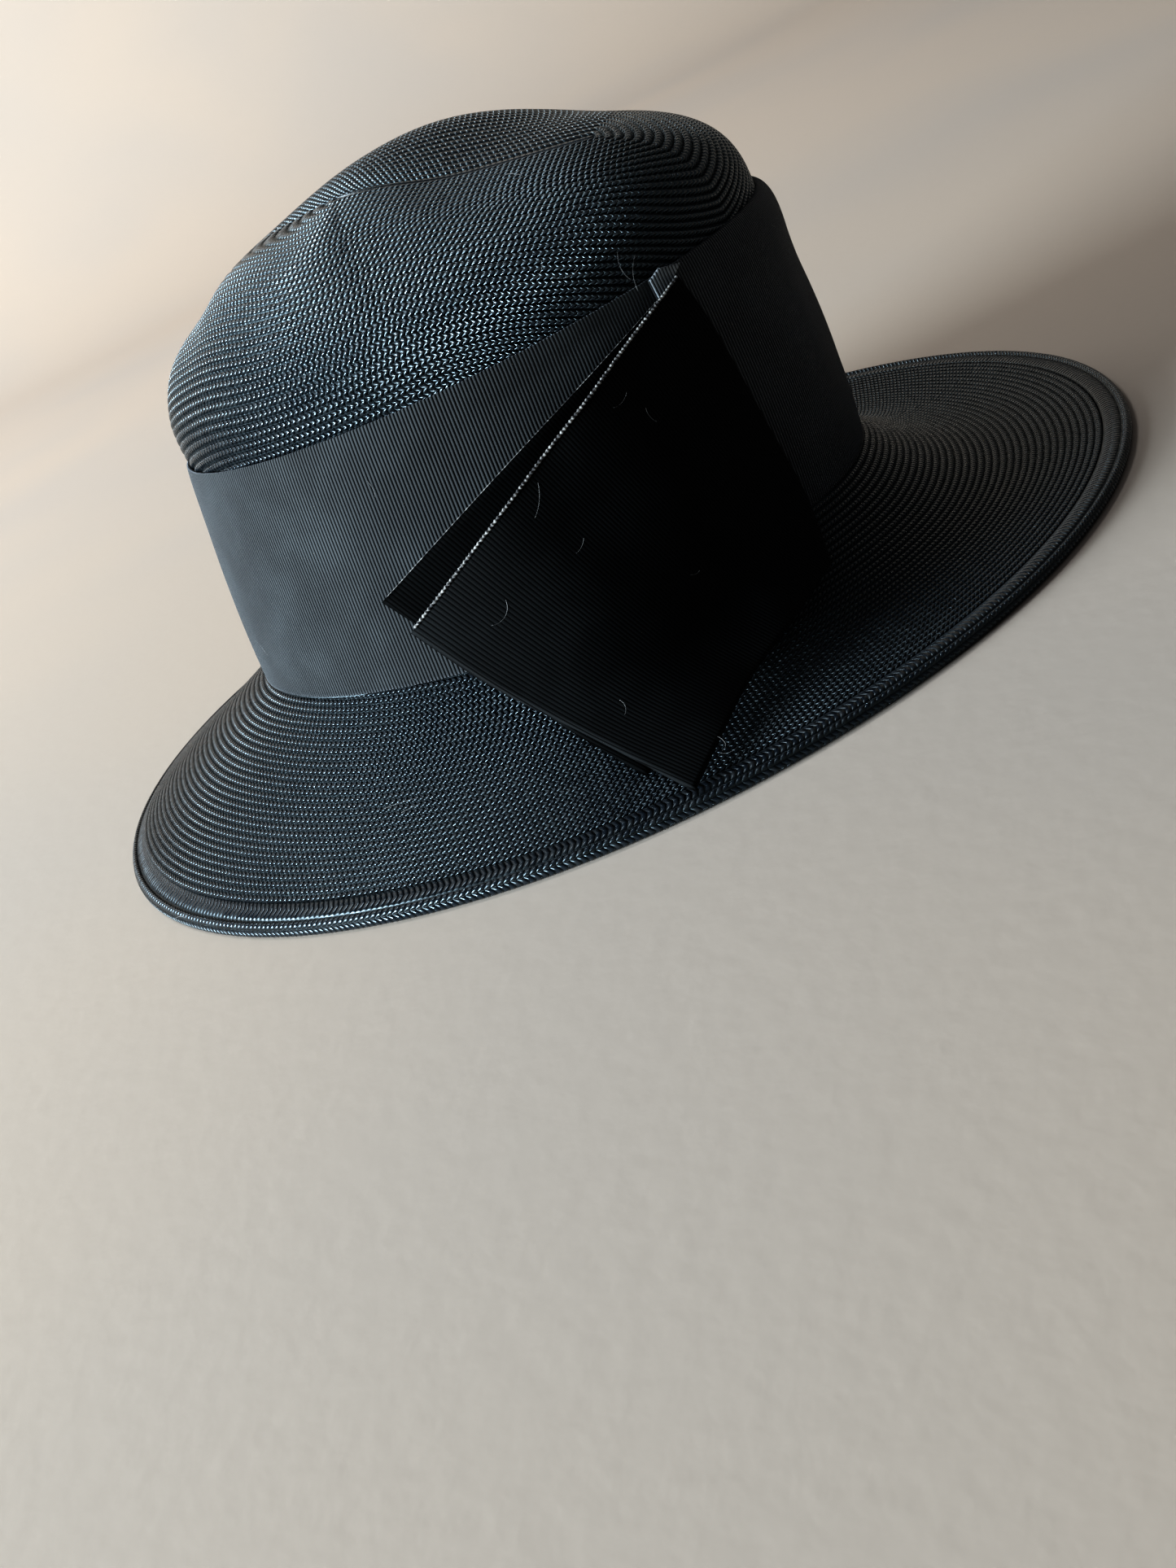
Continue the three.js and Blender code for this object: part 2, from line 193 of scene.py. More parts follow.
class HatForm(bpy.types.PropertyGroup):
    """Main sizes of the hat's form."""

    rim_length: a_length("Rim length", "Length of the brim at its rim", EDGE_BOX[1].x - EDGE_BOX[0].x)
    rim_width: a_length("Rim width", "Width of the brim at its rim", EDGE_BOX[1].y - EDGE_BOX[0].y)
    head_length: a_length("Head length", "Length of the crown at the head line", 201.4 * MM)
    head_width: a_length("Head width", "Width of the crown at the head line", 169.4 * MM)
    head_shift: a_pair("Head shift", "Middle of the head line from the rim's middle", (-5.4 * MM, 2 * MM))
    head_height: a_length("Head height", "Mean height of the head line over the rim", 28 * MM)
    crown_length: a_length("Crown length", "Length of the crown at the band's upper edge", 187.4 * MM)
    crown_width: a_length("Crown width", "Width of the crown at the band's upper edge", 159 * MM)
    crown_shift: a_pair("Crown shift", "Middle of the crown from the rim's middle", (-2.2 * MM, 1.3 * MM))
    dome_height: a_length("Dome height", "Crown over the band's upper edge", 46 * MM)
    dome_lean: a_pair("Dome lean", "Rise of the dome towards +X and +Y, as a share", (-0.06, 0.22))
    looseness: a_length("Looseness", "Swell of the crown's side under the band", 3.5 * MM)


class BraidForm(bpy.types.PropertyGroup):
    """Sizes of the sewn straw braid."""

    thickness: a_length("Thickness", "Wall of sewn braid", 2 * MM)
    crown_row: a_length("Crown row", "Usual width of a row on the crown", 2.75 * MM)
    brim_row: a_length("Brim row", "Width of a row on the brim", 2.2 * MM)
    crown_relief: a_length("Crown relief", "Height of a crown row over its groove", 0.8 * MM)
    brim_relief: a_length("Brim relief", "Height of a brim row over its groove", 0.36 * MM)
    stitch: a_length("Stitch", "Length of one loop along the braid", 1.7 * MM)
    edge_width: a_length("Edge width", "Rolled edge, in from the rim", 8 * MM)
    edge_thickness: a_length("Edge thickness", "Thickness of the rolled edge", 2.8 * MM)
    colour: a_colour("Straw", "Colour of the straw", (0.0075, 0.0105, 0.0145))
    faded: a_colour("Faded straw", "Colour of worn and dusty straw", (0.025, 0.0255, 0.026))


class RibbonForm(bpy.types.PropertyGroup):
    """Sizes of the grosgrain ribbon."""

    thickness: a_length("Thickness", "Ribbon thickness", 0.8 * MM)
    clearance: a_length("Clearance", "Gap between ribbon and straw", 0.3 * MM)
    seat: a_length("Seat", "Outside of the band from the crown's side", 1.3 * MM)
    rib: a_length("Rib", "Spacing of the ribs", 1.02 * MM)
    curl: a_length("Curl", "Most that the band's upper edge stands off", 3.2 * MM)
    fold_radius: a_length("Fold radius", "Inside of the bow's fold", 1.1 * MM)
    colour: a_colour("Ribbon", "Colour of the ribbon", (0.017, 0.0195, 0.0205))
    selvedge: a_colour("Selvedge", "Colour of the light thread along an edge", (0.26, 0.26, 0.25))


class StageForm(bpy.types.PropertyGroup):
    """Floor, backdrop and light."""

    paper: a_colour("Paper", "Colour of the floor and backdrop", (0.43, 0.37, 0.31))
    window_power: a_number("Window power", "Light from the window at the left", 80.0)
    pane_power: a_number("Pane power", "Brightest pane of the window", 32.0)
    fill_power: a_number("Fill power", "Soft light on the backdrop", 50.0)
    ambient: a_number("Ambient", "Strength of the light all round", 0.12)
    turn_steps: IntProperty(
        name="Backdrop steps", description="Steps in the backdrop's bend", default=24)


class PictureHat(bpy.types.PropertyGroup):
    """All the hat's settings."""

    form: PointerProperty(type=HatForm)
    braid: PointerProperty(type=BraidForm)
    ribbon: PointerProperty(type=RibbonForm)
    stage: PointerProperty(type=StageForm)


def settings():
    """The hat's settings in this scene."""
    return bpy.context.scene.picture_hat


# Forms

def around(table, angle):
    """Smooth value of a table at angles in radians: a cubic through its rows, going round."""
    at = np.radians([row[0] for row in table])
    value = np.array([row[1] for row in table], float)
    at = np.concatenate([at - TURN, at, at + TURN])
    value = np.tile(value, 3)
    slope = np.gradient(value, at)
    angle = np.mod(angle, TURN)
    i = np.clip(np.searchsorted(at, angle, side="right") - 1, 0, len(at) - 2)
    span = at[i + 1] - at[i]
    s = (angle - at[i]) / span
    return (
        (2 * s**3 - 3 * s**2 + 1) * value[i] + (s**3 - 2 * s**2 + s) * span * slope[i]
        + (3 * s**2 - 2 * s**3) * value[i + 1] + (s**3 - s**2) * span * slope[i + 1]
    )


def unit(vectors):
    """Vectors scaled to length 1."""
    return vectors / np.maximum(np.linalg.norm(vectors, axis=-1, keepdims=True), 1e-12)


def step(low, high, x):
    """Smooth step from 0 at low to 1 at high."""
    t = np.clip((x - low) / (high - low), 0, 1)
    return t * t * (3 - 2 * t)


def run_along(points, axis=0):
    """Length run along lines of points, from 0 at the first point of each line."""
    gap = np.linalg.norm(np.diff(points, axis=axis), axis=-1)
    return np.concatenate([np.zeros_like(np.take(gap, [0], axis)), np.cumsum(gap, axis)], axis)


def run_round(rings):
    """Length run round closed rings of points, with the way back to the first point."""
    return run_along(np.concatenate([rings, rings[:, :1]], 1), 1)


def floor_height():
    """Height of the rim's middle line over the floor: half the rolled edge."""
    return settings().braid.edge_thickness / 2


def oval(length, width, middle, angle, height, grow=0.0):
    """Ellipse of a length and width about a middle, grown by a distance."""
    x = middle[0] + (length / 2 + grow) * np.cos(angle)
    y = middle[1] + (width / 2 + grow) * np.sin(angle)
    return np.stack(np.broadcast_arrays(x, y, height), -1)


def head_height(angle):
    """Height of the head line over the rim."""
    return settings().form.head_height * around(HEAD_LINE, angle)


def band_top():
    """Height of the band's upper edge over the rim's middle line."""
    return BAND_BOX[1].z - floor_height()


def outward(angle):
    """Level direction away from the crown's side."""
    form = settings().form
    x = np.cos(angle) / form.head_length
    y = np.sin(angle) / form.head_width
    return unit(np.stack([x, y, 0 * x], -1))


def side(angle, share, grow=0.0):
    """Crown's side: straight from the head line to the band's upper edge, with a parabola's swell."""
    form = settings().form
    foot = oval(form.head_length, form.head_width, form.head_shift, angle, head_height(angle), grow)
    top = oval(form.crown_length, form.crown_width, form.crown_shift, angle, band_top(), grow)
    share = np.asarray(share)[..., None]
    swell = 4 * share * (1 - share) * form.looseness * around(SWELL, angle)[..., None]
    return foot * (1 - share) + top * share + swell * outward(angle)


def crown_middle():
    """Middle of the crown at the band's upper edge."""
    form = settings().form
    return np.array([form.crown_shift[0], form.crown_shift[1], band_top()])


def dent_depth(x, y, z):
    """Sum of the dents' bell curves at points from the crown's middle, fading at the band."""
    form = settings().form
    half_length, half_width = form.crown_length / 2, form.crown_width / 2
    depth = np.zeros_like(x)
    for row in DENTS.values():
        dent = dict(zip(DENT_COLUMNS, row))
        dx = x - dent["x"] * half_length
        dy = y - dent["y"] * half_width
        c, s = math.cos(math.radians(dent["turn"])), math.sin(math.radians(dent["turn"]))
        along = (dx * c + dy * s) / (dent["long"] * half_length)
        across = (dy * c - dx * s) / (dent["wide"] * half_length)
        depth += dent["depth"] * form.dome_height * np.exp(-(along**2) - across**2)
    return depth * np.clip(z / (DENT_FADE * form.dome_height), 0, 1)


def crown_surface(direction):
    """Crown in directions from its middle: a leaning superellipse with dents over the band's edge,
    and under that edge a cone down to the head line."""
    form = settings().form
    d = unit(direction)
    plan = np.arctan2(d[..., 1], d[..., 0])
    level = np.hypot(d[..., 0], d[..., 1]) + 1e-12
    up = np.maximum(d[..., 2], 0)
    a, b = form.crown_length / 2, form.crown_width / 2
    reach = 1 / np.sqrt((np.cos(plan) / a) ** 2 + (np.sin(plan) / b) ** 2)
    m = around(SHOULDER, plan)
    first = ((level / reach) ** m + (up / form.dome_height) ** m) ** (-1 / m)
    lean = form.dome_lean[0] * first * d[..., 0] / a + form.dome_lean[1] * first * d[..., 1] / b
    k = ((level / reach) ** m + (up / (form.dome_height * (1 + lean))) ** m) ** (-1 / m)
    k = k - dent_depth(k * d[..., 0], k * d[..., 1], k * up)
    foot_reach = 1 / np.sqrt(
        (np.cos(plan) / (form.head_length / 2)) ** 2 + (np.sin(plan) / (form.head_width / 2)) ** 2)
    widen = (foot_reach - reach) / (band_top() - form.head_height)
    fall = np.minimum(d[..., 2] / level, 0)
    cone = reach / np.maximum(1 + widen * fall, 0.2) / level
    k = np.where(d[..., 2] < 0, cone, k)
    return crown_middle() + k[..., None] * d


def crown_normal(points):
    """Outward direction of the crown at points on it, from the slope of its surface."""
    middle = crown_middle()
    small = 0.3 * MM
    slope = []
    for axis in np.eye(3) * small:
        ahead = np.linalg.norm(points + axis - middle, axis=-1)
        behind = np.linalg.norm(points - axis - middle, axis=-1)
        ahead = ahead - np.linalg.norm(crown_surface(points + axis - middle) - middle, axis=-1)
        behind = behind - np.linalg.norm(crown_surface(points - axis - middle) - middle, axis=-1)
        slope.append(ahead - behind)
    return unit(np.stack(slope, -1))


def brim_surface(angle, share):
    """Top of the brim from the band's foot to the rim: a cubic between its two slopes."""
    form = settings().form
    z0 = head_height(angle)
    root = oval(form.head_length, form.head_width, form.head_shift, angle, z0, settings().ribbon.seat)
    rim = oval(form.rim_length, form.rim_width, (0, 0), angle, 0.0)
    width = np.linalg.norm((rim - root)[..., :2], axis=-1)
    steep = np.tan(np.radians(around(ROOT_FALL, angle))) * width
    droop = np.tan(np.radians(around(RIM_FALL, angle))) * width
    u = np.asarray(share)
    level = root[..., :2] + (rim - root)[..., :2] * u[..., None]
    z = (
        z0 * (2 * u**3 - 3 * u**2 + 1) - steep * (u**3 - 2 * u**2 + u) - droop * (u**3 - u**2)
        + u * floor_height()
    )
    return np.concatenate([level, z[..., None]], -1)


def brim_normal(angle, share):
    """Upward direction of the brim, from small steps round it and out."""
    d = 1e-3
    round_it = brim_surface(angle + d, share) - brim_surface(angle - d, share)
    out = brim_surface(angle, share + d) - brim_surface(angle, share - d)
    return unit(np.cross(out, round_it))


# Meshes

def grid_quads(index, closed=False):
    """Quads of a grid of vertex numbers, rows by columns, round to the first column if closed."""
    right = np.roll(index, -1, 1) if closed else index[:, 1:]
    left = index if closed else index[:, :-1]
    return np.stack([left[:-1], left[1:], right[1:], right[:-1]], -1).reshape(-1, 4)


def numbers(start, rows, columns):
    """Grid of vertex numbers that begins at start."""
    return start + np.arange(rows * columns).reshape(rows, columns)


def make_piece(name, points, faces, uv=None, merge=0.004 * MM):
    """Mesh object from points, face arrays and a UV array for each face array. Doubles are merged,
    and the normals of the closed shell are set to face out."""
    mesh = bpy.data.meshes.new(name)
    lists = [list(map(tuple, part.tolist())) for part in faces]
    points = points + np.array([0, 0, floor_height()])
    mesh.from_pydata(points.tolist(), [], [face for part in lists for face in part])
    if uv is not None:
        layer = mesh.uv_layers.new(name="surface")
        flat = np.concatenate([part.reshape(-1) for part in uv])
        layer.data.foreach_set("uv", flat.astype(np.float32))
    work = bmesh.new()
    work.from_mesh(mesh)
    bmesh.ops.remove_doubles(work, verts=work.verts, dist=merge)
    bmesh.ops.dissolve_degenerate(work, edges=work.edges, dist=merge / 4)
    bmesh.ops.recalc_face_normals(work, faces=work.faces)
    work.to_mesh(mesh)
    work.free()
    mesh.polygons.foreach_set("use_smooth", np.ones(len(mesh.polygons), bool))
    mesh.update()
    piece = bpy.data.objects.new(name, mesh)
    bpy.context.scene.collection.objects.link(piece)
    return piece


def grid_uv(u, v):
    """UV of the quads of one grid or of a stack of them, from u and v at its corners. On a closed
    grid u has one column more than the points."""
    corner = np.stack(np.broadcast_arrays(u, v), -1)
    left, right = corner[..., :-1, :], corner[..., 1:, :]
    low, high = np.s_[..., :-1, :, :], np.s_[..., 1:, :, :]
    return np.stack([left[low], left[high], right[high], right[low]], -2).reshape(-1, 4, 2)


def dress(piece, material, nodes=()):
    """Gives a piece its material, hides the nodes that it replaces and puts it under the hat's body."""
    piece.data.materials.append(material)
    if nodes:
        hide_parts(*nodes)
    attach(piece, "root")
    return piece


def row_profile(phase):
    """Section of a row of braid, a round back over a narrow groove at phase 0 and 1: 1 less the
    share out from its middle to the power 2.6, and that to the power 0.8."""
    return (1 - np.abs(2 * phase - 1) ** 2.6) ** 0.8


# Crown

CROWN_STEPS = 4  # rings to a row
CROWN_COLUMNS = 330
PHASES = np.array([0, 0.1, 0.34, 0.66, 0.9])  # where a row's lines lie between two grooves
CROWN_HIDDEN = 9 * MM  # how far the rows run on under the band
START_POINTS = 200  # points along the first row
START_HEIGHT = 0.8  # height at which the first row is aimed, as a share of the dome's
START_SHARES = [(0, 0), (60, 0), (110, 1), (180, 1), (247, 1), (305, 0)]
COLUMN_POINTS = 600  # points down each column
FRONT_CORNER = (-0.5, 0.85)  # where the rows turn sharply, as shares of the half length and width
ROW_STRETCH = 0.5  # how much the rows widen at that turn, and 0 is least
STRETCH_SLOPE = (0.25, 0.65)  # rise of the normal at which the widening begins and is full
NEAR_BAND = (14 * MM, 8 * MM)  # heights over the band where the rows at the front narrow
NEAR_FRONT = (0.2, -0.7)  # the normal's share along Y where that begins and is full
NEAR_NARROWER = 0.22  # share by which the rows narrow there


def crown_rings():
    """Rings of the crown, a step apart. Each column of points runs from the braid's first row down
    over the dome, and a row is the usual width along it, but more where the column slants to the
    rows: the width over the sine of its angle to the line towards the front corner. Just over the
    band, on the bow's side, the rows are a little narrower."""
    form, braid = settings().form, settings().braid
    half = np.array([form.crown_length / 2, form.crown_width / 2])
    angle = np.arange(CROWN_COLUMNS) / CROWN_COLUMNS * TURN
    aim = form.dome_height * START_HEIGHT
    starts = np.array([np.append(np.array(share) * half, aim) for share in BRAID_START])
    line = smooth_curve(starts, START_POINTS)
    along = np.clip(around(START_SHARES, angle), 0, 1) * (START_POINTS - 1)
    start = np.stack([np.interp(along, np.arange(START_POINTS), line[:, i]) for i in range(3)], -1)
    end = np.stack([half[0] * np.cos(angle), half[1] * np.sin(angle), 0 * angle - CROWN_HIDDEN], -1)
    t = np.linspace(0, 1, COLUMN_POINTS)[:, None, None]
    paths = crown_surface(start * (1 - t) + end * t)
    normals = crown_normal(paths)
    to_corner = np.array(FRONT_CORNER) * half - starts[-1][:2]
    way = end[:, :2] - start[:, :2]
    turn = np.arctan2(way[:, 1], way[:, 0]) - math.atan2(to_corner[1], to_corner[0])
    sine = np.where(np.cos(turn) > 0, np.abs(np.sin(turn)), 1)
    least = (1 + ROW_STRETCH) ** -2
    soft = np.where(np.cos(turn) > 0, math.sqrt(1 + least) / np.sqrt(sine**2 + least), 1)
    width = braid.crown_row * (1 + (soft - 1) * step(*STRETCH_SLOPE, normals[..., 2]))
    near = step(*NEAR_FRONT, normals[..., 1]) * step(*NEAR_BAND, paths[..., 2] - band_top())
    width = width * (1 - NEAR_NARROWER * near)
    gap = np.linalg.norm(np.diff(paths, axis=0), axis=2) / (0.5 * (width[1:] + width[:-1]))
    rows = np.concatenate([np.zeros((1, CROWN_COLUMNS)), np.cumsum(gap, 0)])
    count = int(rows[-1].max() * CROWN_STEPS) + 2 * CROWN_STEPS
    want = np.arange(count) / CROWN_STEPS
    rings = [
        np.stack([np.interp(want, rows[:, j], paths[:, j, i]) for i in range(3)], -1)
        for j in range(CROWN_COLUMNS)
    ]
    return np.array(rings).transpose(1, 0, 2)


def clip_columns(rings, low):
    """Columns of points, each held where it first sinks under a height, and those places."""
    under = rings[..., 2] < low
    first = np.where(under.any(0), under.argmax(0), len(rings) - 1)
    columns = np.arange(rings.shape[1])
    below, above = rings[first, columns], rings[np.maximum(first - 1, 0), columns]
    t = np.clip((above[:, 2] - low) / np.maximum(above[:, 2] - below[:, 2], 1e-9), 0, 1)
    end = above + (below - above) * t[:, None]
    held = np.arange(len(rings))[:, None] >= first
    return np.where(held[..., None], end, rings), end


ROW_OFFSET = 0.37  # stitches by which each row is shifted against the last


def braid_uv(lines, rows):
    """UV of rows of braid: u counts stitches along each row's middle line, v counts rows."""
    count = len(PHASES)
    middle = 0.5 * (lines[2::count] + lines[3::count])[:rows]
    run = run_along(middle, 1)
    tangent = unit(np.gradient(middle, axis=1))
    beside = [lines[first::count][:rows] - middle for first in range(count + 1)]
    u = np.stack([run + np.sum(way * tangent, -1) for way in beside], 1) / settings().braid.stitch
    row = np.arange(rows)[:, None]
    return grid_uv(u + ROW_OFFSET * row[..., None], (row + np.append(PHASES, 1))[..., None])


LEAST_RELIEF = 0.35  # share of the relief where the rows are widest
GROOVE_SINK = 0.7  # share of the relief that a groove lies under the form
WALL_LINES = 14  # lines down the plain wall under the band, and up its inside
WALL_TOP = 0.96  # share of the wall's height at its first line
INNER_RELIEF = 0.3  # shares of the crown's relief on the inside, over and under the band's edge
LINING_RELIEF = 0.25


def fan_quads(loop):
    """Quads that close a loop of vertex numbers from side to side."""
    i = np.arange(len(loop) // 2 - 1)
    return np.stack([loop[i], loop[i + 1], loop[-2 - i], loop[-1 - i]], -1)


def crown_outside(held_rings, end, rows):
    """Lines of the spiral of rows: each column starts a share of a row later than the one before.
    A line is lifted along the normal by the row's section, less where the rows are wide."""
    braid, n = settings().braid, CROWN_COLUMNS
    level = np.append((np.arange(rows)[:, None] + PHASES).ravel(), rows)
    place = level[:, None] - 0.5 + np.arange(n + 1) / n
    core = place[..., None] < 0
    place = np.maximum(place, 0) * CROWN_STEPS
    base = place.astype(int)
    t = (place - base)[..., None]
    column = np.arange(n + 1) % n
    after = held_rings[np.minimum(base + 1, len(held_rings) - 1), column]
    lines = held_rings[base, column] * (1 - t) + after * t
    fade = step(-CROWN_HIDDEN, -CROWN_HIDDEN / 2, lines[..., 2:] - band_top())
    spread = np.linalg.norm(lines[len(PHASES):] - lines[:-len(PHASES)], axis=-1)
    spread = np.concatenate([spread, np.repeat(spread[-1:], len(PHASES), 0)])[..., None]
    fade = fade * np.clip(braid.crown_row / np.maximum(spread, 1e-9), LEAST_RELIEF, 1)
    section = np.where(core, 1, row_profile((level % 1)[:, None, None])) - GROOVE_SINK
    outer = lines + crown_normal(lines) * braid.crown_relief * section * fade
    outer[-1] = np.vstack([end, end[:1]])
    return lines, outer


def crown_mesh():
    """Crown: a spiral of rows outside, a plain wall under the band, and rings of rows inside."""
    form, braid, n = settings().form, settings().braid, CROWN_COLUMNS
    rings = crown_rings()
    held_rings, end = clip_columns(rings, band_top() - CROWN_HIDDEN)
    rows = (len(rings) - 1 - CROWN_STEPS) // CROWN_STEPS
    lines, outer = crown_outside(held_rings, end, rows)
    angle = np.arctan2(
        (end[:, 1] - form.crown_shift[1]) / form.crown_width,
        (end[:, 0] - form.crown_shift[0]) / form.crown_length)
    top_share = 1 - CROWN_HIDDEN / (band_top() - head_height(angle))
    shares = np.linspace(WALL_TOP, 0, WALL_LINES)[:, None] * top_share
    wall = side(np.broadcast_to(angle, shares.shape), shares, 0.0)
    wall[-1, :, 2] += settings().ribbon.clearance
    lining = side(np.broadcast_to(angle, shares.shape), shares[::-1], -braid.thickness)
    lining[0, :, 2] = wall[-1, :, 2]
    ripple = LINING_RELIEF * braid.crown_relief * np.cos(np.pi * np.arange(WALL_LINES))
    lining[1:] += (ripple[:, None, None] * outward(angle))[1:]
    inner = held_rings[::-2]
    ripple = INNER_RELIEF * braid.crown_relief * np.cos(TURN * np.arange(len(inner)) * 2 / CROWN_STEPS)
    inner = inner - crown_normal(inner) * (braid.thickness + ripple[:, None, None])
    rest = np.concatenate([wall, lining, inner])
    index = numbers(0, len(outer), n + 1)
    shut_index = np.vstack([index[-1, :n], numbers(outer.shape[0] * outer.shape[1], len(rest), n)])
    shut = np.concatenate([outer[-1:, :n], rest])
    fall = run_along(shut).mean(1)
    faces = [grid_quads(index), grid_quads(shut_index, closed=True)]
    uvs = [braid_uv(lines, rows)]
    uvs.append(grid_uv(run_round(shut) / braid.stitch, (fall / braid.crown_row)[:, None]))
    border = np.concatenate([np.arange(n + 1), np.arange(len(PHASES) - 1, 0, -1) * (n + 1)])
    for loop in (border, shut_index[-1]):
        faces.append(fan_quads(loop))
        uvs.append(np.full((len(faces[-1]), 4, 2), 0.5))
    return np.vstack([outer.reshape(-1, 3), rest.reshape(-1, 3)]), faces, uvs


# Brim

BRIM_COLUMNS = 360
BRIM_ROWS = 40
RAY_POINTS = 240  # points along a ray from the band's foot to the rim
BRIM_SINK = 0.75  # share of the relief that a groove lies under the form
UNDER_RELIEF = 0.6  # share of the relief on the underside
UNDER_THINNER = 0.3 * MM  # taken from the wall for the relief of both faces
# Sway of the rows: waves round the brim, share of the sway, and phase in radians.
ROW_SWAY = [(3, 1, 1), (7, 0.6, 0), (11, 0.4, 2)]
SWAY_SHARE = 0.12  # share of a row that the rows sway
SWAY_START = 0.02  # metres in from the rolled edge at which the sway is full


def brim_lines(distances, angle):
    """Share of the brim's width at distances from the rim along each ray, and where it ends."""
    share = np.linspace(0, 1, RAY_POINTS)
    run = run_along(brim_surface(angle[:, None], share[None, :]), 1)
    want = run[:, -1:] - distances
    found = np.array([np.interp(w, r, share) for w, r in zip(want, run)])
    return found.T, (want < 0).T


def brim_mesh():
    """Brim: rows of braid side by side from the rolled edge in to the head line, above and below."""
    form, braid, n = settings().form, settings().braid, BRIM_COLUMNS
    angle = np.arange(n + 1) / n * TURN
    start = braid.edge_width + settings().ribbon.clearance
    sway = sum(share * np.sin(waves * angle + phase) for waves, share, phase in ROW_SWAY)
    sway = sway * SWAY_SHARE * braid.brim_row
    level = np.append((np.arange(BRIM_ROWS)[:, None] + PHASES).ravel(), BRIM_ROWS)
    distance = start + level * braid.brim_row
    swayed = distance[None, :] + sway[:, None] * step(0, SWAY_START, distance - start)
    share, past = brim_lines(swayed, angle)
    angles = np.broadcast_to(angle, share.shape)
    flat = brim_surface(angles, share)
    normal = brim_normal(angles, share)
    section = row_profile((level % 1)[:, None, None])
    top = flat + normal * np.where(past[..., None], 0, braid.brim_relief * (section - BRIM_SINK))
    wall = braid.thickness - UNDER_THINNER + UNDER_RELIEF * braid.brim_relief * section[::2]
    under = flat[::2] - normal[::2] * wall
    collar_top = oval(
        form.head_length, form.head_width, form.head_shift, angle, head_height(angle),
        -braid.thickness)[None]
    collar_under = collar_top - np.array([0, 0, braid.thickness])
    rest = np.concatenate([collar_top, collar_under, under[::-1]])[:, :n]
    index = numbers(0, len(top), n + 1)
    at = top.shape[0] * (n + 1)
    rest_index = np.vstack([index[-1, :n], numbers(at, len(rest), n), index[0, :n]])
    shut = np.concatenate([top[-1:, :n], rest, top[:1, :n]])
    v = np.concatenate([[0, 0.5, 1], level[::2], [0]])
    faces = [grid_quads(index), grid_quads(rest_index, closed=True)]
    uvs = [braid_uv(flat, BRIM_ROWS), grid_uv(run_round(shut) / braid.stitch, v[:, None])]
    return np.vstack([top.reshape(-1, 3), rest.reshape(-1, 3)]), faces, uvs


EDGE_COLUMNS = 480
FLAT_POINTS = 8  # points across the edge's flat row
ROLL_TURNS = (35, 270, 15)  # first and last degrees round the roll, and points
ROLL_SHARE = 0.17  # radius of the roll as a share of the edge's width
ROLL_OVAL = 0.35  # how much taller than the edge's half thickness the roll is
EDGE_RELIEF = (0.4, -0.15, 1.6)  # section's share, its shift, and share of the brim's relief
FLAT_END = 2.05  # where the flat row meets the roll, in radii of the roll
FOOT_END = (2.2, -0.9)  # where the flat foot ends: radii of the roll, share of the half thickness
UNDER_START = 0.7  # where the underside of the flat row begins, as a share of the edge's width
EDGE_THINNER = 0.2 * MM  # flat row's wall, thinner than the rest by this much
ROLL_GIRTH = 2.6  # way round the roll that counts as one row, in radii of the roll


def edge_section(width, roll):
    """Section of the rolled edge, going round, as rows of distance in from the rim, lift of the
    flat row, share of the roll's height and whether the point is on the underside."""
    share, shift, relief = EDGE_RELIEF
    section = [
        (width * (1 - t) + FLAT_END * roll * t, (share * row_profile(t) + shift) * relief, 0, False)
        for t in np.linspace(0, 1, FLAT_POINTS)
    ]
    section += [
        (roll + roll * math.cos(turn), 0, math.sin(turn), False)
        for turn in np.radians(np.linspace(*ROLL_TURNS))
    ]
    foot = (FOOT_END[0] * roll, 0, FOOT_END[1], False)
    return [*section, foot, (UNDER_START * width, 0, 0, True), (width, 0, 0, True)]


def edge_mesh():
    """Rolled edge: a ring whose section is a flat inner row and a round outer row with a flat foot."""
    form, braid, n = settings().form, settings().braid, EDGE_COLUMNS
    angle = np.arange(n) / n * TURN
    rim = oval(form.rim_length, form.rim_width, (0, 0), angle, 0.0)
    share, _ = brim_lines(np.array([braid.edge_width]), angle)
    inner = brim_surface(angle, share[0])
    inward = unit((inner - rim) * np.array([1, 1, 0]))
    half = braid.edge_thickness / 2
    roll = ROLL_SHARE * braid.edge_width
    rows = []
    for distance, lift, round_part, under in edge_section(braid.edge_width, roll):
        slope = half + (inner[:, 2] - half) * distance / braid.edge_width
        if round_part:
            z = np.where(round_part < 0, half, slope + ROLL_OVAL * half) * round_part
        elif under:
            z = slope - braid.thickness + EDGE_THINNER
        else:
            z = slope + lift * braid.brim_relief
        point = rim + inward * distance
        rows.append(np.column_stack([point[:, :2], np.maximum(z, -half)]))
    rows = np.array(rows)
    index = numbers(0, len(rows), n)
    index = np.vstack([index, index[:1]])
    shut = rows[[*range(len(rows)), 0]]
    run = run_round(shut).mean(0)[None, :]
    fall = run_along(shut).mean(1)
    first = fall[FLAT_POINTS - 1]
    v = np.where(fall < first, fall / first, 1 + (fall - first) / (ROLL_GIRTH * roll))
    uv = [grid_uv(np.broadcast_to(run / braid.stitch, (len(shut), n + 1)), v[:, None])]
    return rows.reshape(-1, 3), [grid_quads(index, closed=True)], uv


# Ribbon

BAND_COLUMNS = 480
BAND_ROWS = 36
CLOSER_ABOVE = 1.1  # power of the sine that spaces the rows, closest at the upper edge
BAND_LENGTH = 592 * MM
BAND_WIDTH = 71 * MM
CURL_SHARES = (0.62, 0.93)  # shares of the width where the curl begins and is full
SWAY = 0.25 * MM  # slow wave of the band's face
CREASE_GAP = 0.1 * MM  # least that a crease leaves between the band and the crown
CREASE_SHARE = 0.2  # share of a crease's depth beyond that which bulges out again


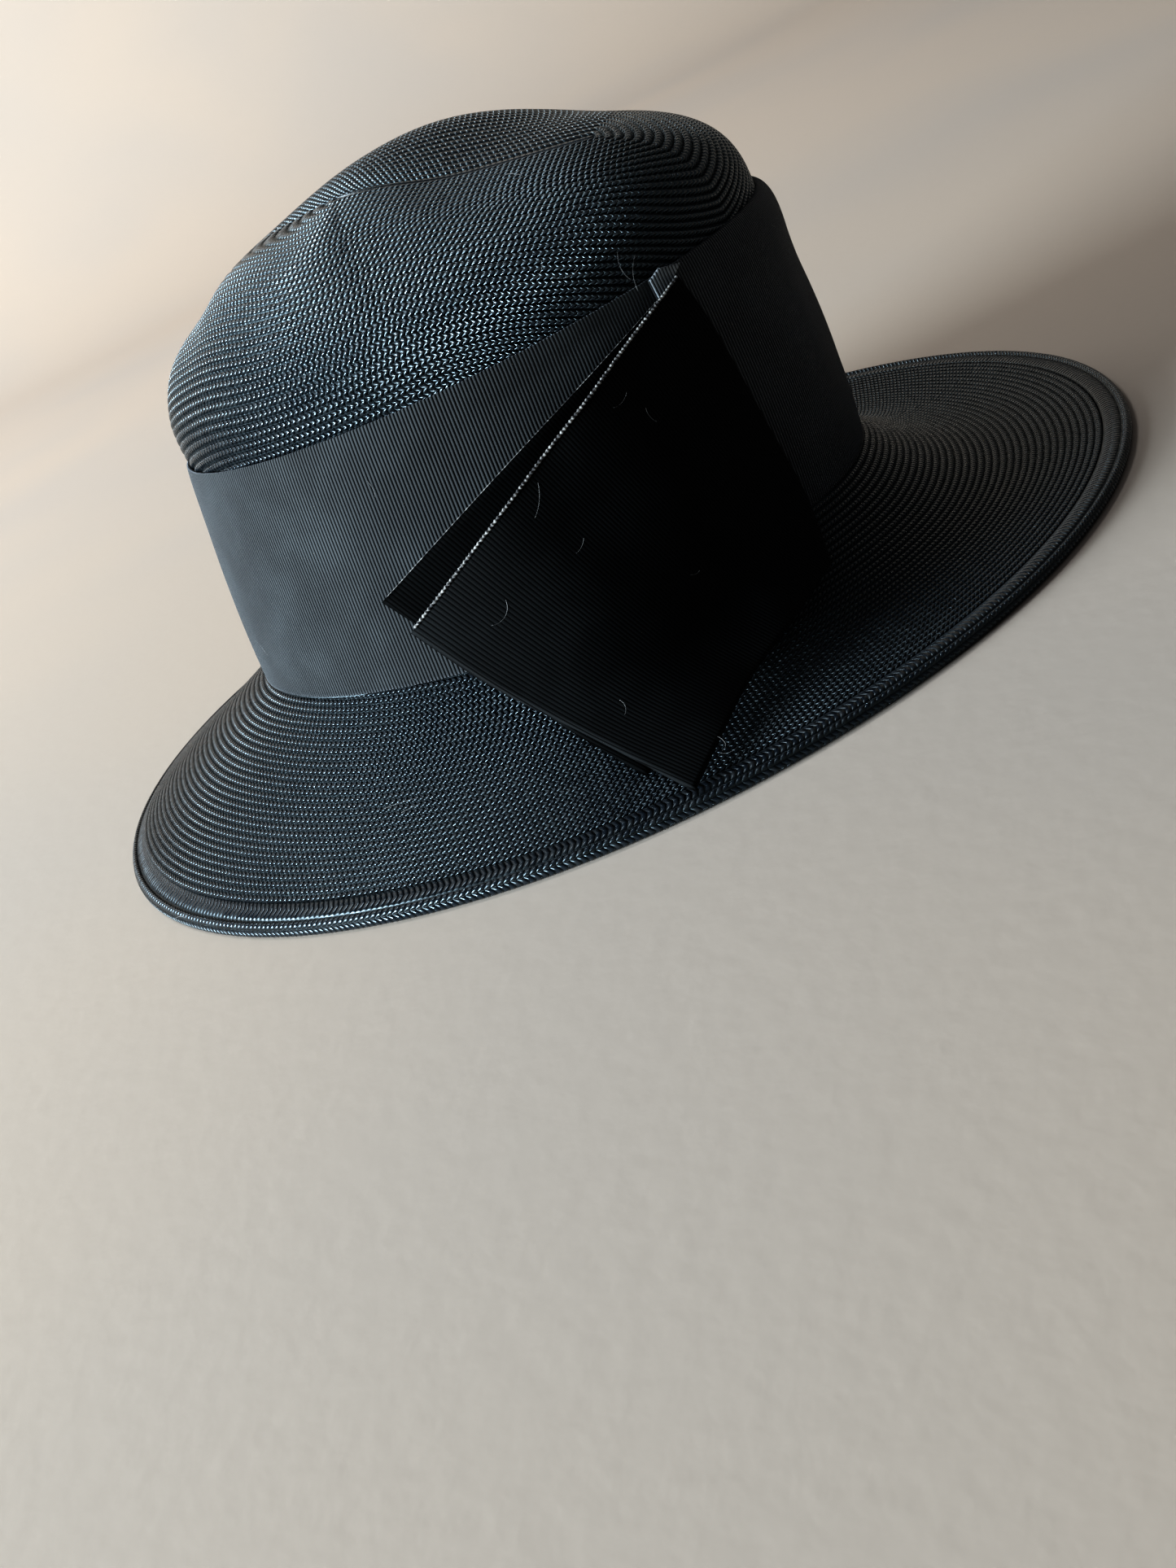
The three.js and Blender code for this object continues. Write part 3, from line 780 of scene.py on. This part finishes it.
def band_surface(angle, share, inside=False):
    """Outside or inside of the band: the crown's side moved out, with its curl, creases and sway."""
    ribbon, form = settings().ribbon, settings().form
    out = np.full(share.shape, ribbon.seat - (ribbon.thickness if inside else 0.0))
    past = ((share - CURL_SHARES[1]) / (1 - CURL_SHARES[1])).clip(0)
    curl = np.zeros(share.shape)
    if not inside:
        lip = np.sqrt(np.clip(1 - past**2, 0, 1))
        curl = ribbon.curl * around(BAND_STAND, angle) * step(*CURL_SHARES, share) ** 1.5 * lip
    sway = SWAY * np.sin(5 * angle + 2 * share) * step(0, 0.3, share) * step(1, 0.7, share)
    crease = np.zeros(share.shape)
    for c in BAND_CREASES:
        turn = (angle - math.radians(c["at"]) + math.pi) % TURN - math.pi
        along = turn * form.crown_length / 2 / (c["long"] * MM)
        middle = c["share"] + c["slant"] * along
        across = (share - middle) * BAND_WIDTH / (c["wide"] * MM)
        crease += c["depth"] * MM * np.exp(-(along**2) - across**2)
    limit = ribbon.seat - ribbon.thickness - CREASE_GAP
    bulge = CREASE_SHARE * np.maximum(crease - limit, 0)
    out = out + curl + sway + bulge - np.minimum(crease, limit)
    point = side(angle, share) + outward(angle) * out[..., None]
    point[..., 2] += ribbon.clearance * (share < 1e-6)
    return point


def band_mesh():
    """Band: an outside and an inside, closed round a thin upper and lower edge."""
    rib, n = settings().ribbon.rib, BAND_COLUMNS
    angle = np.arange(n) / n * TURN
    share = np.sin(np.linspace(0, 1, BAND_ROWS) * math.pi / 2)[:, None] ** CLOSER_ABOVE
    angles, shares = np.broadcast_arrays(angle[None, :], share)
    rows = [band_surface(angles, shares), band_surface(angles, shares, inside=True)[::-1]]
    rows = np.concatenate(rows)
    index = numbers(0, len(rows), n)
    index = np.vstack([index, index[:1]])
    v = np.concatenate([share[:, 0], share[::-1, 0], share[:1, 0]]) * BAND_WIDTH / rib
    u = np.broadcast_to(BAND_LENGTH * np.arange(n + 1) / n / rib, (len(index), n + 1))
    return rows.reshape(-1, 3), [grid_quads(index, closed=True)], [grid_uv(u, v[:, None])]


def bow_place(row):
    """Place of a row of a bow table."""
    on, at, share, off = row
    angle = np.array(math.radians(at))
    if on == "brim":
        return brim_surface(angle, np.array(share)) + np.array([0, 0, off * MM])
    return side(angle, np.array(share), settings().ribbon.seat) + outward(angle) * off * MM


SPLINE_STEPS = 60  # points worked out on each stretch of a curve


def smooth_curve(points, count):
    """Points spread evenly along a centripetal spline through a few points."""
    p = np.array(points)
    if len(p) == 2:
        t = np.linspace(0, 1, count)[:, None]
        return p[0] * (1 - t) + p[1] * t
    p = np.vstack([2 * p[0] - p[1], p, 2 * p[-1] - p[-2]])
    gap = np.sqrt(np.linalg.norm(np.diff(p, axis=0), axis=1))[:, None]
    a, b, c, d = p[:-3], p[1:-2], p[2:-1], p[3:]
    g0, g1, g2 = gap[:-2], gap[1:-1], gap[2:]
    t1 = ((b - a) / g0 - (c - a) / (g0 + g1) + (c - b) / g1) * g1
    t2 = ((c - b) / g1 - (d - b) / (g1 + g2) + (d - c) / g2) * g1
    t = np.linspace(0, 1, SPLINE_STEPS)[:, None, None]
    line = (
        b + t1 * t + (-3 * b + 3 * c - 2 * t1 - t2) * t**2 + (2 * b - 2 * c + t1 + t2) * t**3
    ).transpose(1, 0, 2).reshape(-1, 3)
    run = run_along(line)
    want = np.linspace(0, run[-1], count)
    return np.stack([np.interp(want, run, line[:, i]) for i in range(3)], -1)


def patch(table, rows, columns):
    """Smooth patch between a fold, a cut end and two edges: the sum of the two ruled surfaces less
    the flat one through the corners."""
    places = {name: [bow_place(row) for row in table[name]] for name in table}
    ends = places["fold"], places["cut"]
    fold, cut = (smooth_curve(line, columns) for line in ends)
    left, right = (
        smooth_curve([ends[0][i], *places[name], ends[1][i]], rows)
        for name, i in (("left", 0), ("right", -1))
    )
    u = np.linspace(0, 1, columns)[None, :, None]
    v = np.linspace(0, 1, rows)[:, None, None]
    ruled = fold[None] * (1 - v) + cut[None] * v + left[:, None] * (1 - u) + right[:, None] * u
    flat = (
        fold[0] * (1 - u) * (1 - v) + fold[-1] * u * (1 - v) + cut[0] * (1 - u) * v + cut[-1] * u * v
    )
    return ruled - flat


def grid_normals(grid):
    """Directions across an open grid, from its neighbouring points."""
    return unit(np.cross(np.gradient(grid, axis=1), -np.gradient(grid, axis=0)))


def sheet_mesh(grid, thickness, flat_uv):
    """Thin closed sheet between a grid of points and the same grid moved under it."""
    rows, columns = grid.shape[:2]
    under = grid - grid_normals(grid) * thickness
    top, low = numbers(0, rows, columns), numbers(rows * columns, rows, columns)
    border = np.concatenate([top[0, :-1], top[:-1, -1], top[-1, :0:-1], top[:0:-1, 0]])
    below = border + rows * columns
    wall = np.stack([border, np.roll(border, -1), np.roll(below, -1), below], -1)
    faces = [grid_quads(top), grid_quads(low)[:, ::-1], wall]
    uv = flat_uv.reshape(-1, 2)
    uv = np.vstack([uv, uv])
    return np.vstack([grid.reshape(-1, 3), under.reshape(-1, 3)]), faces, [uv[part] for part in faces]


def ribbon_uv(grid):
    """UV of a layer laid flat: u counts ribs away from its cut end, v runs along a rib."""
    cut = unit(grid[-1, -1] - grid[-1, 0])
    away = grid[0].mean(0) - grid[-1].mean(0)
    away = unit(away - cut * np.dot(away, cut))
    from_cut = grid - grid[-1, 0]
    return np.stack([from_cut @ away, from_cut @ cut], -1) / settings().ribbon.rib


TUBE_UP = (0.3, -0.5, 0.8)  # a direction that no thread runs along


def tube(path, radius, sides, twist, swell):
    """Tube round a path: rings of points square to it, turned by a twist in radians from one to the
    next and swelled by a share at each, with a fan that closes each end."""
    tangent = unit(np.gradient(path, axis=0))
    first = unit(np.cross(tangent, np.array(TUBE_UP)))
    second = np.cross(tangent, first)
    turn = np.arange(sides) / sides * TURN + np.arange(len(path))[:, None] * twist
    across, up = ((f(turn) * radius * swell[:, None])[..., None] for f in (np.cos, np.sin))
    points = (path[:, None] + across * first[:, None] + up * second[:, None]).reshape(-1, 3)
    index = numbers(0, len(path), sides)
    caps = []
    for row, middle in ((index[0], path[0]), (index[-1], path[-1])):
        points = np.vstack([points, middle])
        caps.append(np.stack([row, np.roll(row, -1), np.full(sides, len(points) - 1)], -1))
    return points, grid_quads(index, closed=True), np.vstack(caps)


def join(parts):
    """One set of points, quads and triangles from several tubes."""
    points, quads, triangles, at = [], [], [], 0
    for p, q, t in parts:
        points.append(p)
        quads.append(q + at)
        triangles.append(t + at)
        at += len(p)
    return np.vstack(points), [np.vstack(quads), np.vstack(triangles)]


FOLD_LINES = 9  # lines round the bow's fold
FOLD_TURNS = (165, 15)  # degrees at the first and last of them
WAVE = 0.7 * MM  # wave of the front layer's left edge
BELLY = 1.2 * MM  # how far the front layer's middle stands out


def front_flap_grid():
    """Front layer of the bow: the patch with a soft wave in its left edge and a roll at its fold."""
    radius = settings().ribbon.fold_radius
    grid = patch(FRONT_FLAP, rows=70, columns=60)
    normal = grid_normals(grid)
    v = np.linspace(0, 1, len(grid))[:, None]
    u = np.linspace(0, 1, grid.shape[1])[None, :]
    wave = WAVE * np.sin(TURN * 3.1 * v + 0.8) * (1 - u) ** 3 * np.sin(math.pi * v)
    belly = BELLY * np.sin(math.pi * u) * np.sin(math.pi * v)
    grid = grid + normal * (wave + belly)[..., None]
    inward = unit(grid[1] - grid[0])
    across = normal[0]
    turns = np.radians(np.linspace(*FOLD_TURNS, FOLD_LINES))[:, None, None]
    roll = grid[0] - inward * radius * np.sin(turns) - across * radius * (1 - np.cos(turns))
    return np.concatenate([roll, grid])


def under_flap_grid():
    """Lower layer of the bow: the patch alone."""
    return patch(UNDER_FLAP, rows=50, columns=44)


# Materials

# Near black of the straw's grooves and of the gaps between its loops: painted shade.
GROOVE_SHADE = (0.0008, 0.0009, 0.0012)
# Light grey of the bow's turned corner: painted light where the black ribbon's fold catches the window.
LIT_CORNER_COLOUR = (0.13, 0.145, 0.155)
THREAD_DARK = (0.03, 0.03, 0.032)
LINT_COLOURS = ((0.34, 0.34, 0.33), (0.2, 0.2, 0.2))


def scaled(colour, share):
    """A colour times a share."""
    return tuple(share * c for c in colour)


class Value:
    """A socket of a material with Python's operators for its maths."""

    def __init__(self, nodes, socket):
        self.nodes = nodes
        self.socket = socket

    def output(self, name):
        """Another output of the same node."""
        return Value(self.nodes, self.socket.node.outputs[name])

    def maths(self, operation, *others):
        """Math node on this value and others."""
        return self.nodes.maths(operation, self, *others)

    def __add__(self, other):
        return self.maths("ADD", other)

    __radd__ = __add__

    def __mul__(self, other):
        return self.maths("MULTIPLY", other)

    __rmul__ = __mul__

    def __sub__(self, other):
        return self.maths("SUBTRACT", other)

    def __rsub__(self, other):
        return self.nodes.maths("SUBTRACT", other, self)

    def __pow__(self, other):
        return self.maths("POWER", other)

    def __abs__(self):
        return self.maths("ABSOLUTE")

    def floor(self):
        """Whole part."""
        return self.maths("FLOOR")

    def fraction(self):
        """Part after the point."""
        return self.maths("FRACT")

    def over(self, low, high):
        """Smooth step of this value from 0 at low to 1 at high."""
        return self.nodes.make(
            "ShaderNodeMapRange", {"interpolation_type": "SMOOTHSTEP"},
            {0: self, 1: low, 2: high, 3: 0.0, 4: 1.0})


class Nodes:
    """Node tree of one material."""

    def __init__(self, name):
        self.material = bpy.data.materials.new(name)
        self.material.use_nodes = True
        self.tree = self.material.node_tree
        self.tree.nodes.clear()

    def make(self, kind, options=None, sockets=None, output=0):
        """Node of a type with its options and the values or links of its sockets."""
        node = self.tree.nodes.new(kind)
        for key, value in (options or {}).items():
            setattr(node, key, value)
        for key, value in (sockets or {}).items():
            if isinstance(value, Value):
                self.tree.links.new(value.socket, node.inputs[key])
            else:
                node.inputs[key].default_value = value
        return Value(self, node.outputs[output])

    def maths(self, operation, *values):
        """Math node on values."""
        return self.make("ShaderNodeMath", {"operation": operation}, dict(enumerate(values)))

    def mix(self, amount, first, second):
        """Mix of two colours."""
        colours = {6: first, 7: second}
        for key, value in colours.items():
            if not isinstance(value, Value):
                colours[key] = (*value[:3], 1)
        return self.make("ShaderNodeMix", {"data_type": "RGBA"}, {0: amount, **colours}, 2)

    def noise(self, scale, detail=2.0):
        """Soft noise on the object's own coordinates."""
        place = self.make("ShaderNodeTexCoord", output="Object")
        return self.make("ShaderNodeTexNoise", None, {"Vector": place, "Scale": scale, "Detail": detail})

    def surface_place(self):
        """The two coordinates of the piece's own UV map."""
        place = self.make("ShaderNodeUVMap", {"uv_map": "surface"})
        split = self.make("ShaderNodeSeparateXYZ", None, {0: place})
        return split, split.output("Y")

    def bump(self, height, distance):
        """Bump of a height from 0 to 1 that is so many metres deep."""
        sockets = {"Height": height, "Distance": distance, "Strength": 1.0}
        return self.make("ShaderNodeBump", None, sockets)

    def finish(self, colour, roughness, normal, constants):
        """Principled surface as the material's output."""
        sockets = {"Base Color": colour, "Roughness": roughness, "Normal": normal, **constants}
        shader = self.make("ShaderNodeBsdfPrincipled", None, sockets)
        node = self.tree.nodes.new("ShaderNodeOutputMaterial")
        self.tree.links.new(shader.socket, node.inputs["Surface"])
        return self.material


def straw_material(name, lean, loops, depth, shine):
    """Plaited straw: a line of slanting loops along each row, each loop with its own shine, with painted
    shade that makes the colour near black in the grooves and in the gaps between the loops. Lean is
    the loops' slant in stitches, loops is how deep the gaps between them are, as a share of the
    row's height, depth is that height in millimetres and shine the strength of the gloss."""
    braid = settings().braid
    n = Nodes(name)
    x, y = n.surface_place()
    side_way = abs(y.fraction() * 2 - 1)
    along = x + side_way * lean
    loop = 1 - abs(along.fraction() * 2 - 1) ** 2.4
    back = 1 - side_way**3
    height = back * (loop * loops + (1 - loops))
    cell = n.make("ShaderNodeCombineXYZ", None, {0: along.floor(), 1: (y * 2).floor(), 2: 0.0})
    own = n.make("ShaderNodeTexWhiteNoise", {"noise_dimensions": "3D"}, {"Vector": cell})
    patchy = n.noise(28.0, 3.0).over(0.42, 0.68)
    fine = n.noise(900.0)
    worn = n.mix(patchy * 0.25 + own**3 * 0.6, braid.colour, braid.faded)
    # Painted shade: the colour falls to near black where the braid is low, in the grooves and the gaps
    # between its loops.
    colour = n.mix(height.over(0.25, 0.85), GROOVE_SHADE, worn)
    roughness = 0.1 + own * 0.18 + patchy * 0.06 + (1 - height) * 0.2
    normal = n.bump(height + fine * 0.08 + own * 0.3 * height, depth * MM)
    return n.finish(colour, roughness, normal, {
        "Specular IOR Level": shine, "Specular Tint": (0.72, 0.91, 1.0, 1),
        "Sheen Weight": 0.02, "Sheen Roughness": 0.35, "Sheen Tint": (0.8, 0.9, 1.0, 1)})


def grosgrain_material(name, colour, nap=0.3, rib_depth=0.32, shine=0.12):
    """Grosgrain: round ribs across the ribbon with fine threads over them, and painted shade that makes
    the gaps between the ribs near black. The ribs' depth is in millimetres, and nap is the strength
    of the ribbon's soft sheen."""
    n = Nodes(name)
    x, y = n.surface_place()
    rib = 1 - abs(x.fraction() * 2 - 1) ** 2.2
    thread = 1 - abs((y * 2.6 + x.floor() * 0.5).fraction() * 2 - 1) ** 2
    soft = n.noise(60.0, 3.0).over(0.35, 0.75)
    fine = n.noise(1400.0)
    face = n.mix(soft * 0.5 + fine * 0.3, colour, scaled(colour, 3.2))
    # Painted shade: near black in the gaps between the ribs.
    shade = n.mix(rib.over(0.2, 0.9), scaled(colour, 0.01), face)
    normal = n.bump(rib + thread * 0.12 * rib + fine * 0.12, rib_depth * MM)
    roughness = 0.58 + soft * 0.12 + (1 - rib) * 0.15
    return n.finish(shade, roughness, normal, {
        "Specular IOR Level": shine, "Sheen Weight": nap, "Sheen Roughness": 0.45,
        "Sheen Tint": (0.75, 0.8, 0.86, 1)})


def thread_material(name, colour, dark):
    """Twisted thread: light and dark in turn along its length."""
    n = Nodes(name)
    fine = n.noise(900.0)
    tone = n.mix(fine.over(0.4, 0.62), dark, colour)
    return n.finish(tone, 0.7 + fine * 0.1, n.bump(fine, 0.1 * MM), {"Specular IOR Level": 0.3})


def paper_material(name, colour):
    """Matt painted paper with a faint mottle."""
    n = Nodes(name)
    fine = n.noise(160.0, 3.0)
    cooler = (colour[0] * 0.93, colour[1] * 0.96, colour[2])
    tone = n.mix(n.noise(2.2).over(0.35, 0.7), colour, cooler)
    return n.finish(tone, 0.82 + fine * 0.08, n.bump(fine, 0.08 * MM), {"Specular IOR Level": 0.2})


# Pieces

class HatOperator:
    """Common settings of the hat's operators."""

    bl_options = {"REGISTER", "UNDO"}


class HAT_OT_crown(HatOperator, bpy.types.Operator):
    """Build the crown of sewn braid"""

    bl_idname = "picture_hat.crown"
    bl_label = "Crown"

    def execute(self, context):
        piece = make_piece("crown_braid", *crown_mesh())
        straw = straw_material("crown straw", lean=0.6, loops=0.72, depth=0.68, shine=1.0)
        dress(piece, straw, ["crown"])
        return {"FINISHED"}


class HAT_OT_brim(HatOperator, bpy.types.Operator):
    """Build the brim of sewn braid and its rolled edge"""

    bl_idname = "picture_hat.brim"
    bl_label = "Brim"

    def execute(self, context):
        piece = make_piece("brim_braid", *brim_mesh())
        straw = straw_material("brim straw", lean=0.5, loops=0.85, depth=0.7, shine=0.6)
        dress(piece, straw, ["brim"])
        edge = make_piece("rolled_edge", *edge_mesh())
        rolled = straw_material("edge straw", lean=0.6, loops=0.65, depth=0.5, shine=0.5)
        dress(edge, rolled, ["brim_edge"])
        return {"FINISHED"}


class HAT_OT_band(HatOperator, bpy.types.Operator):
    """Build the ribbon round the crown"""

    bl_idname = "picture_hat.band"
    bl_label = "Band"

    def execute(self, context):
        piece = make_piece("ribbon_band", *band_mesh())
        ribbon = grosgrain_material("band ribbon", tuple(settings().ribbon.colour))
        dress(piece, ribbon, ["hat_band"])
        return {"FINISHED"}


THREAD_POINTS = 400
THREAD_TWIST = 0.5  # radians from one point to the next
THREAD_LIFT = 0.1 * MM  # how far the front thread's middle stands off the ribbon
THREAD_BEAD = (0.35, 4)  # swell of its beads as a share, and points to a bead
THREAD_RADII = (0.42 * MM, 0.12 * MM)  # front and lower layer's selvedge


def bow_layer(name, grid, material, node):
    """Dressed piece for one layer of the bow."""
    mesh = sheet_mesh(grid, settings().ribbon.thickness, ribbon_uv(grid))
    return dress(make_piece(name, *mesh), material, [node])


def selvedge_mesh(front, under):
    """Beaded threads along the left edges of the bow's two layers."""
    held = front[FOLD_LINES:, 0] + grid_normals(front)[FOLD_LINES:, 0] * THREAD_LIFT
    swell, points_to_bead = THREAD_BEAD
    bead = 1 + swell * np.sin(np.arange(THREAD_POINTS) * TURN / points_to_bead)
    threads = [
        tube(smooth_curve(edge[::4], THREAD_POINTS), radius, sides, THREAD_TWIST, bead)
        for edge, radius, sides in zip((held, under[:, 0]), THREAD_RADII, (6, 5))
    ]
    return join(threads)


class HAT_OT_bow(HatOperator, bpy.types.Operator):
    """Build the folded bow with its selvedge threads"""

    bl_idname = "picture_hat.bow"
    bl_label = "Bow"

    def execute(self, context):
        ribbon = settings().ribbon
        front, under, tab = front_flap_grid(), under_flap_grid(), patch(TAB, rows=12, columns=12)
        # Painted shade: the bow's front layer is the band's ribbon at 0.22 of its colour, for a face
        # turned away from the window.
        face = grosgrain_material("bow ribbon", scaled(ribbon.colour, 0.22), 0.02, 0.1, 0.06)
        # Painted shade: the lower layer is the ribbon at 0.1 of its colour, for the shade under the front
        # layer.
        shaded = grosgrain_material("under ribbon", scaled(ribbon.colour, 0.1), 0.0, 0.1, 0.02)
        # Painted light: the turned corner is the black ribbon coloured light grey, for the light caught
        # on the fold's end.
        turned = grosgrain_material("corner ribbon", LIT_CORNER_COLOUR, 0.3, 0.2)
        bow_front = bow_layer("bow_front", front, face, "bow_front_flap")
        bow_under = bow_layer("bow_under", under, shaded, "bow_under_flap")
        corner = bow_layer("bow_corner", tab, turned, "bow_tab")
        thread = make_piece("selvedge_thread", *selvedge_mesh(front, under))
        pale = thread_material("selvedge thread", tuple(ribbon.selvedge), THREAD_DARK)
        dress(thread, pale)
        return {"FINISHED"}


LINT_GROUND = ["crown_braid", "brim_braid", "rolled_edge", "ribbon_band", "bow_front"]
LINT_POINTS = 18
LINT_RADIUS = 0.045 * MM
LINT_GAP = 0.15 * MM


def camera_ray(pixel):
    """Direction from the camera through a pixel of the photograph."""
    x = (pixel[0] - PHOTO_WIDTH / 2) / FOCAL_PIXELS
    y = (pixel[1] - PHOTO_HEIGHT / 2) / FOCAL_PIXELS
    right, down, forward = (Vector(v) for v in (CAMERA_RIGHT, CAMERA_DOWN, CAMERA_FORWARD))
    return (forward + right * x + down * y).normalized()


def seen_place(trees, pixel):
    """First place and normal that the camera sees through a pixel, with the normal towards it."""
    ray = camera_ray(pixel)
    found = [tree.ray_cast(Vector(CAMERA_PLACE), ray) for tree in trees]
    found = [f for f in found if f[0] is not None]
    if not found:
        raise RuntimeError(f"no surface under the lint at {pixel}")
    nearest = min(found, key=lambda f: f[3])
    place, normal = np.array(nearest[0]), np.array(nearest[1])
    return place, normal * (-1 if np.dot(normal, np.array(ray)) > 0 else 1)


def lint_fibre(trees, row):
    """One hair: it starts on the surface under its pixel, curls in that plane and lifts off it."""
    place, normal = seen_place(trees, (row["x"], row["y"]))
    right = unit(np.array(CAMERA_RIGHT) - normal * np.dot(normal, CAMERA_RIGHT))
    down = np.cross(normal, right) * -1
    t = np.linspace(0, 1, LINT_POINTS)
    heading = math.radians(row["turn"]) + math.radians(row["curl"]) * t
    steps = np.cos(heading)[:, None] * right + np.sin(heading)[:, None] * down
    path = place + np.cumsum(steps, 0) * row["long"] * MM / LINT_POINTS
    path = path + normal * (LINT_GAP + row["lift"] * MM * t**2)[:, None]
    path[:, 2] -= floor_height()
    return tube(path, LINT_RADIUS, 3, 0.0, 1 - 0.5 * t)


class HAT_OT_lint(HatOperator, bpy.types.Operator):
    """Lay the lint and loose thread ends on the hat"""

    bl_idname = "picture_hat.lint"
    bl_label = "Lint"

    def execute(self, context):
        meshes = [bpy.data.objects[name].data for name in LINT_GROUND]
        trees = [
            BVHTree.FromPolygons([v.co for v in mesh.vertices], [p.vertices for p in mesh.polygons])
            for mesh in meshes
        ]
        fibres = [lint_fibre(trees, dict(zip(LINT_COLUMNS, values))) for values in LINT]
        lint = make_piece("lint", *join(fibres), merge=0.0005 * MM)
        dress(lint, thread_material("lint thread", *LINT_COLOURS))
        return {"FINISHED"}


# Stage

def backdrop_mesh(steps):
    """Floor that bends up into a wall: a straight, a quarter circle and a straight, swept
    sideways. Sizes are in metres."""
    near, bend_at, radius, high, half_width = -3.5, 1.5, 0.9, 3.2, 4.0
    turn = np.linspace(0, math.pi / 2, steps)
    along = np.concatenate([[near, 0], bend_at + radius * np.sin(turn), [bend_at + radius]])
    up = np.concatenate([[0, 0], radius * (1 - np.cos(turn)), [high]])
    sideways = np.linspace(-half_width, half_width, 9)
    heading = unit(np.array([CAMERA_FORWARD[0], CAMERA_FORWARD[1], 0]))
    across = np.array([heading[1], -heading[0], 0])
    grid = along[:, None, None] * heading + sideways[None, :, None] * across
    grid = grid + up[:, None, None] * np.array([0, 0, 1])
    return grid.reshape(-1, 3), grid_quads(numbers(0, len(along), len(sideways)))


def area_light(name, place, target, size, power, colour):
    """Rectangular light that faces a target."""
    data = bpy.data.lights.new(name, "AREA")
    data.shape = "RECTANGLE"
    data.size, data.size_y = size
    data.energy = power
    data.color = colour
    light = bpy.data.objects.new(name, data)
    light.location = place
    light.rotation_euler = (Vector(target) - Vector(place)).to_track_quat("-Z", "Y").to_euler()
    bpy.context.scene.collection.objects.link(light)


AMBIENT_COLOUR = (0.95, 0.95, 1.0, 1)
# Lights: name, setting of its power, place, target, size and colour.
LIGHTS = [
    ("window", "window_power", (-1.8, 0.12, 0.44), (0, 0, 0.07), (0.8, 0.8), (0.8, 0.91, 1.0)),
    ("pane", "pane_power", (-1.8, -0.35, 0.2), (0, 0, 0.1), (0.16, 0.22), (0.8, 0.92, 1.0)),
    ("wall light", "fill_power", (-0.7, 1.1, 1.9), (0.1, 2.3, 0.7), (1.2, 1.2), (0.93, 0.96, 1.0)),
]


def photo_camera():
    """Camera at the photograph's place, with its direction and focal length."""
    data = bpy.data.cameras.new("camera")
    data.sensor_fit = "AUTO"
    data.sensor_width = SENSOR
    data.lens = SENSOR * FOCAL_PIXELS / PHOTO_HEIGHT
    data.clip_start = 0.01
    camera = bpy.data.objects.new("camera", data)
    axes = Matrix([CAMERA_RIGHT, [-v for v in CAMERA_DOWN], [-v for v in CAMERA_FORWARD]])
    camera.matrix_world = Matrix.Translation(CAMERA_PLACE) @ axes.transposed().to_4x4()
    return camera


class HAT_OT_stage(HatOperator, bpy.types.Operator):
    """Set the floor, the backdrop, the lights and the camera"""

    bl_idname = "picture_hat.stage"
    bl_label = "Stage"

    def execute(self, context):
        stage, scene = settings().stage, context.scene
        points, faces = backdrop_mesh(stage.turn_steps)
        mesh = bpy.data.meshes.new("floor")
        mesh.from_pydata(points.tolist(), [], faces.tolist())
        mesh.polygons.foreach_set("use_smooth", np.ones(len(mesh.polygons), bool))
        mesh.materials.append(paper_material("paper", tuple(stage.paper)))
        floor = bpy.data.objects.new("floor", mesh)
        scene.collection.objects.link(floor)
        for name, power, place, target, size, colour in LIGHTS:
            area_light(name, place, target, size, getattr(stage, power), colour)
        world = bpy.data.worlds.new("room")
        world.use_nodes = True
        background = world.node_tree.nodes["Background"]
        background.inputs["Color"].default_value = AMBIENT_COLOUR
        background.inputs["Strength"].default_value = stage.ambient
        scene.world = world
        scene.view_settings.view_transform = "Standard"
        scene.view_settings.look = "High Contrast"
        camera = photo_camera()
        scene.collection.objects.link(camera)
        scene.camera = camera
        return {"FINISHED"}


class HAT_PT_panel(bpy.types.Panel):
    """Panel of the hat's settings and buttons"""

    bl_idname = "HAT_PT_panel"
    bl_label = "Picture Hat"
    bl_space_type = "VIEW_3D"
    bl_region_type = "UI"
    bl_category = "Picture Hat"

    def draw(self, context):
        for group in (settings().form, settings().braid, settings().ribbon, settings().stage):
            box = self.layout.box()
            for name in group.__annotations__:
                box.prop(group, name)
        for operator in OPERATORS:
            self.layout.operator(operator.bl_idname)


OPERATORS = (HAT_OT_crown, HAT_OT_brim, HAT_OT_band, HAT_OT_bow, HAT_OT_lint, HAT_OT_stage)
CLASSES = (HatForm, BraidForm, RibbonForm, StageForm, PictureHat, *OPERATORS, HAT_PT_panel)


def register():
    """Add the classes and the hat's settings."""
    for item in CLASSES:
        bpy.utils.register_class(item)
    bpy.types.Scene.picture_hat = PointerProperty(type=PictureHat)


def unregister():
    """Remove them again."""
    del bpy.types.Scene.picture_hat
    for item in reversed(CLASSES):
        bpy.utils.unregister_class(item)


def main():
    """Build the hat and its stage."""
    register()
    bpy.ops.picture_hat.crown()
    bpy.ops.picture_hat.brim()
    bpy.ops.picture_hat.band()
    bpy.ops.picture_hat.bow()
    bpy.ops.picture_hat.lint()
    bpy.ops.picture_hat.stage()


if __name__ == "__main__":
    main()
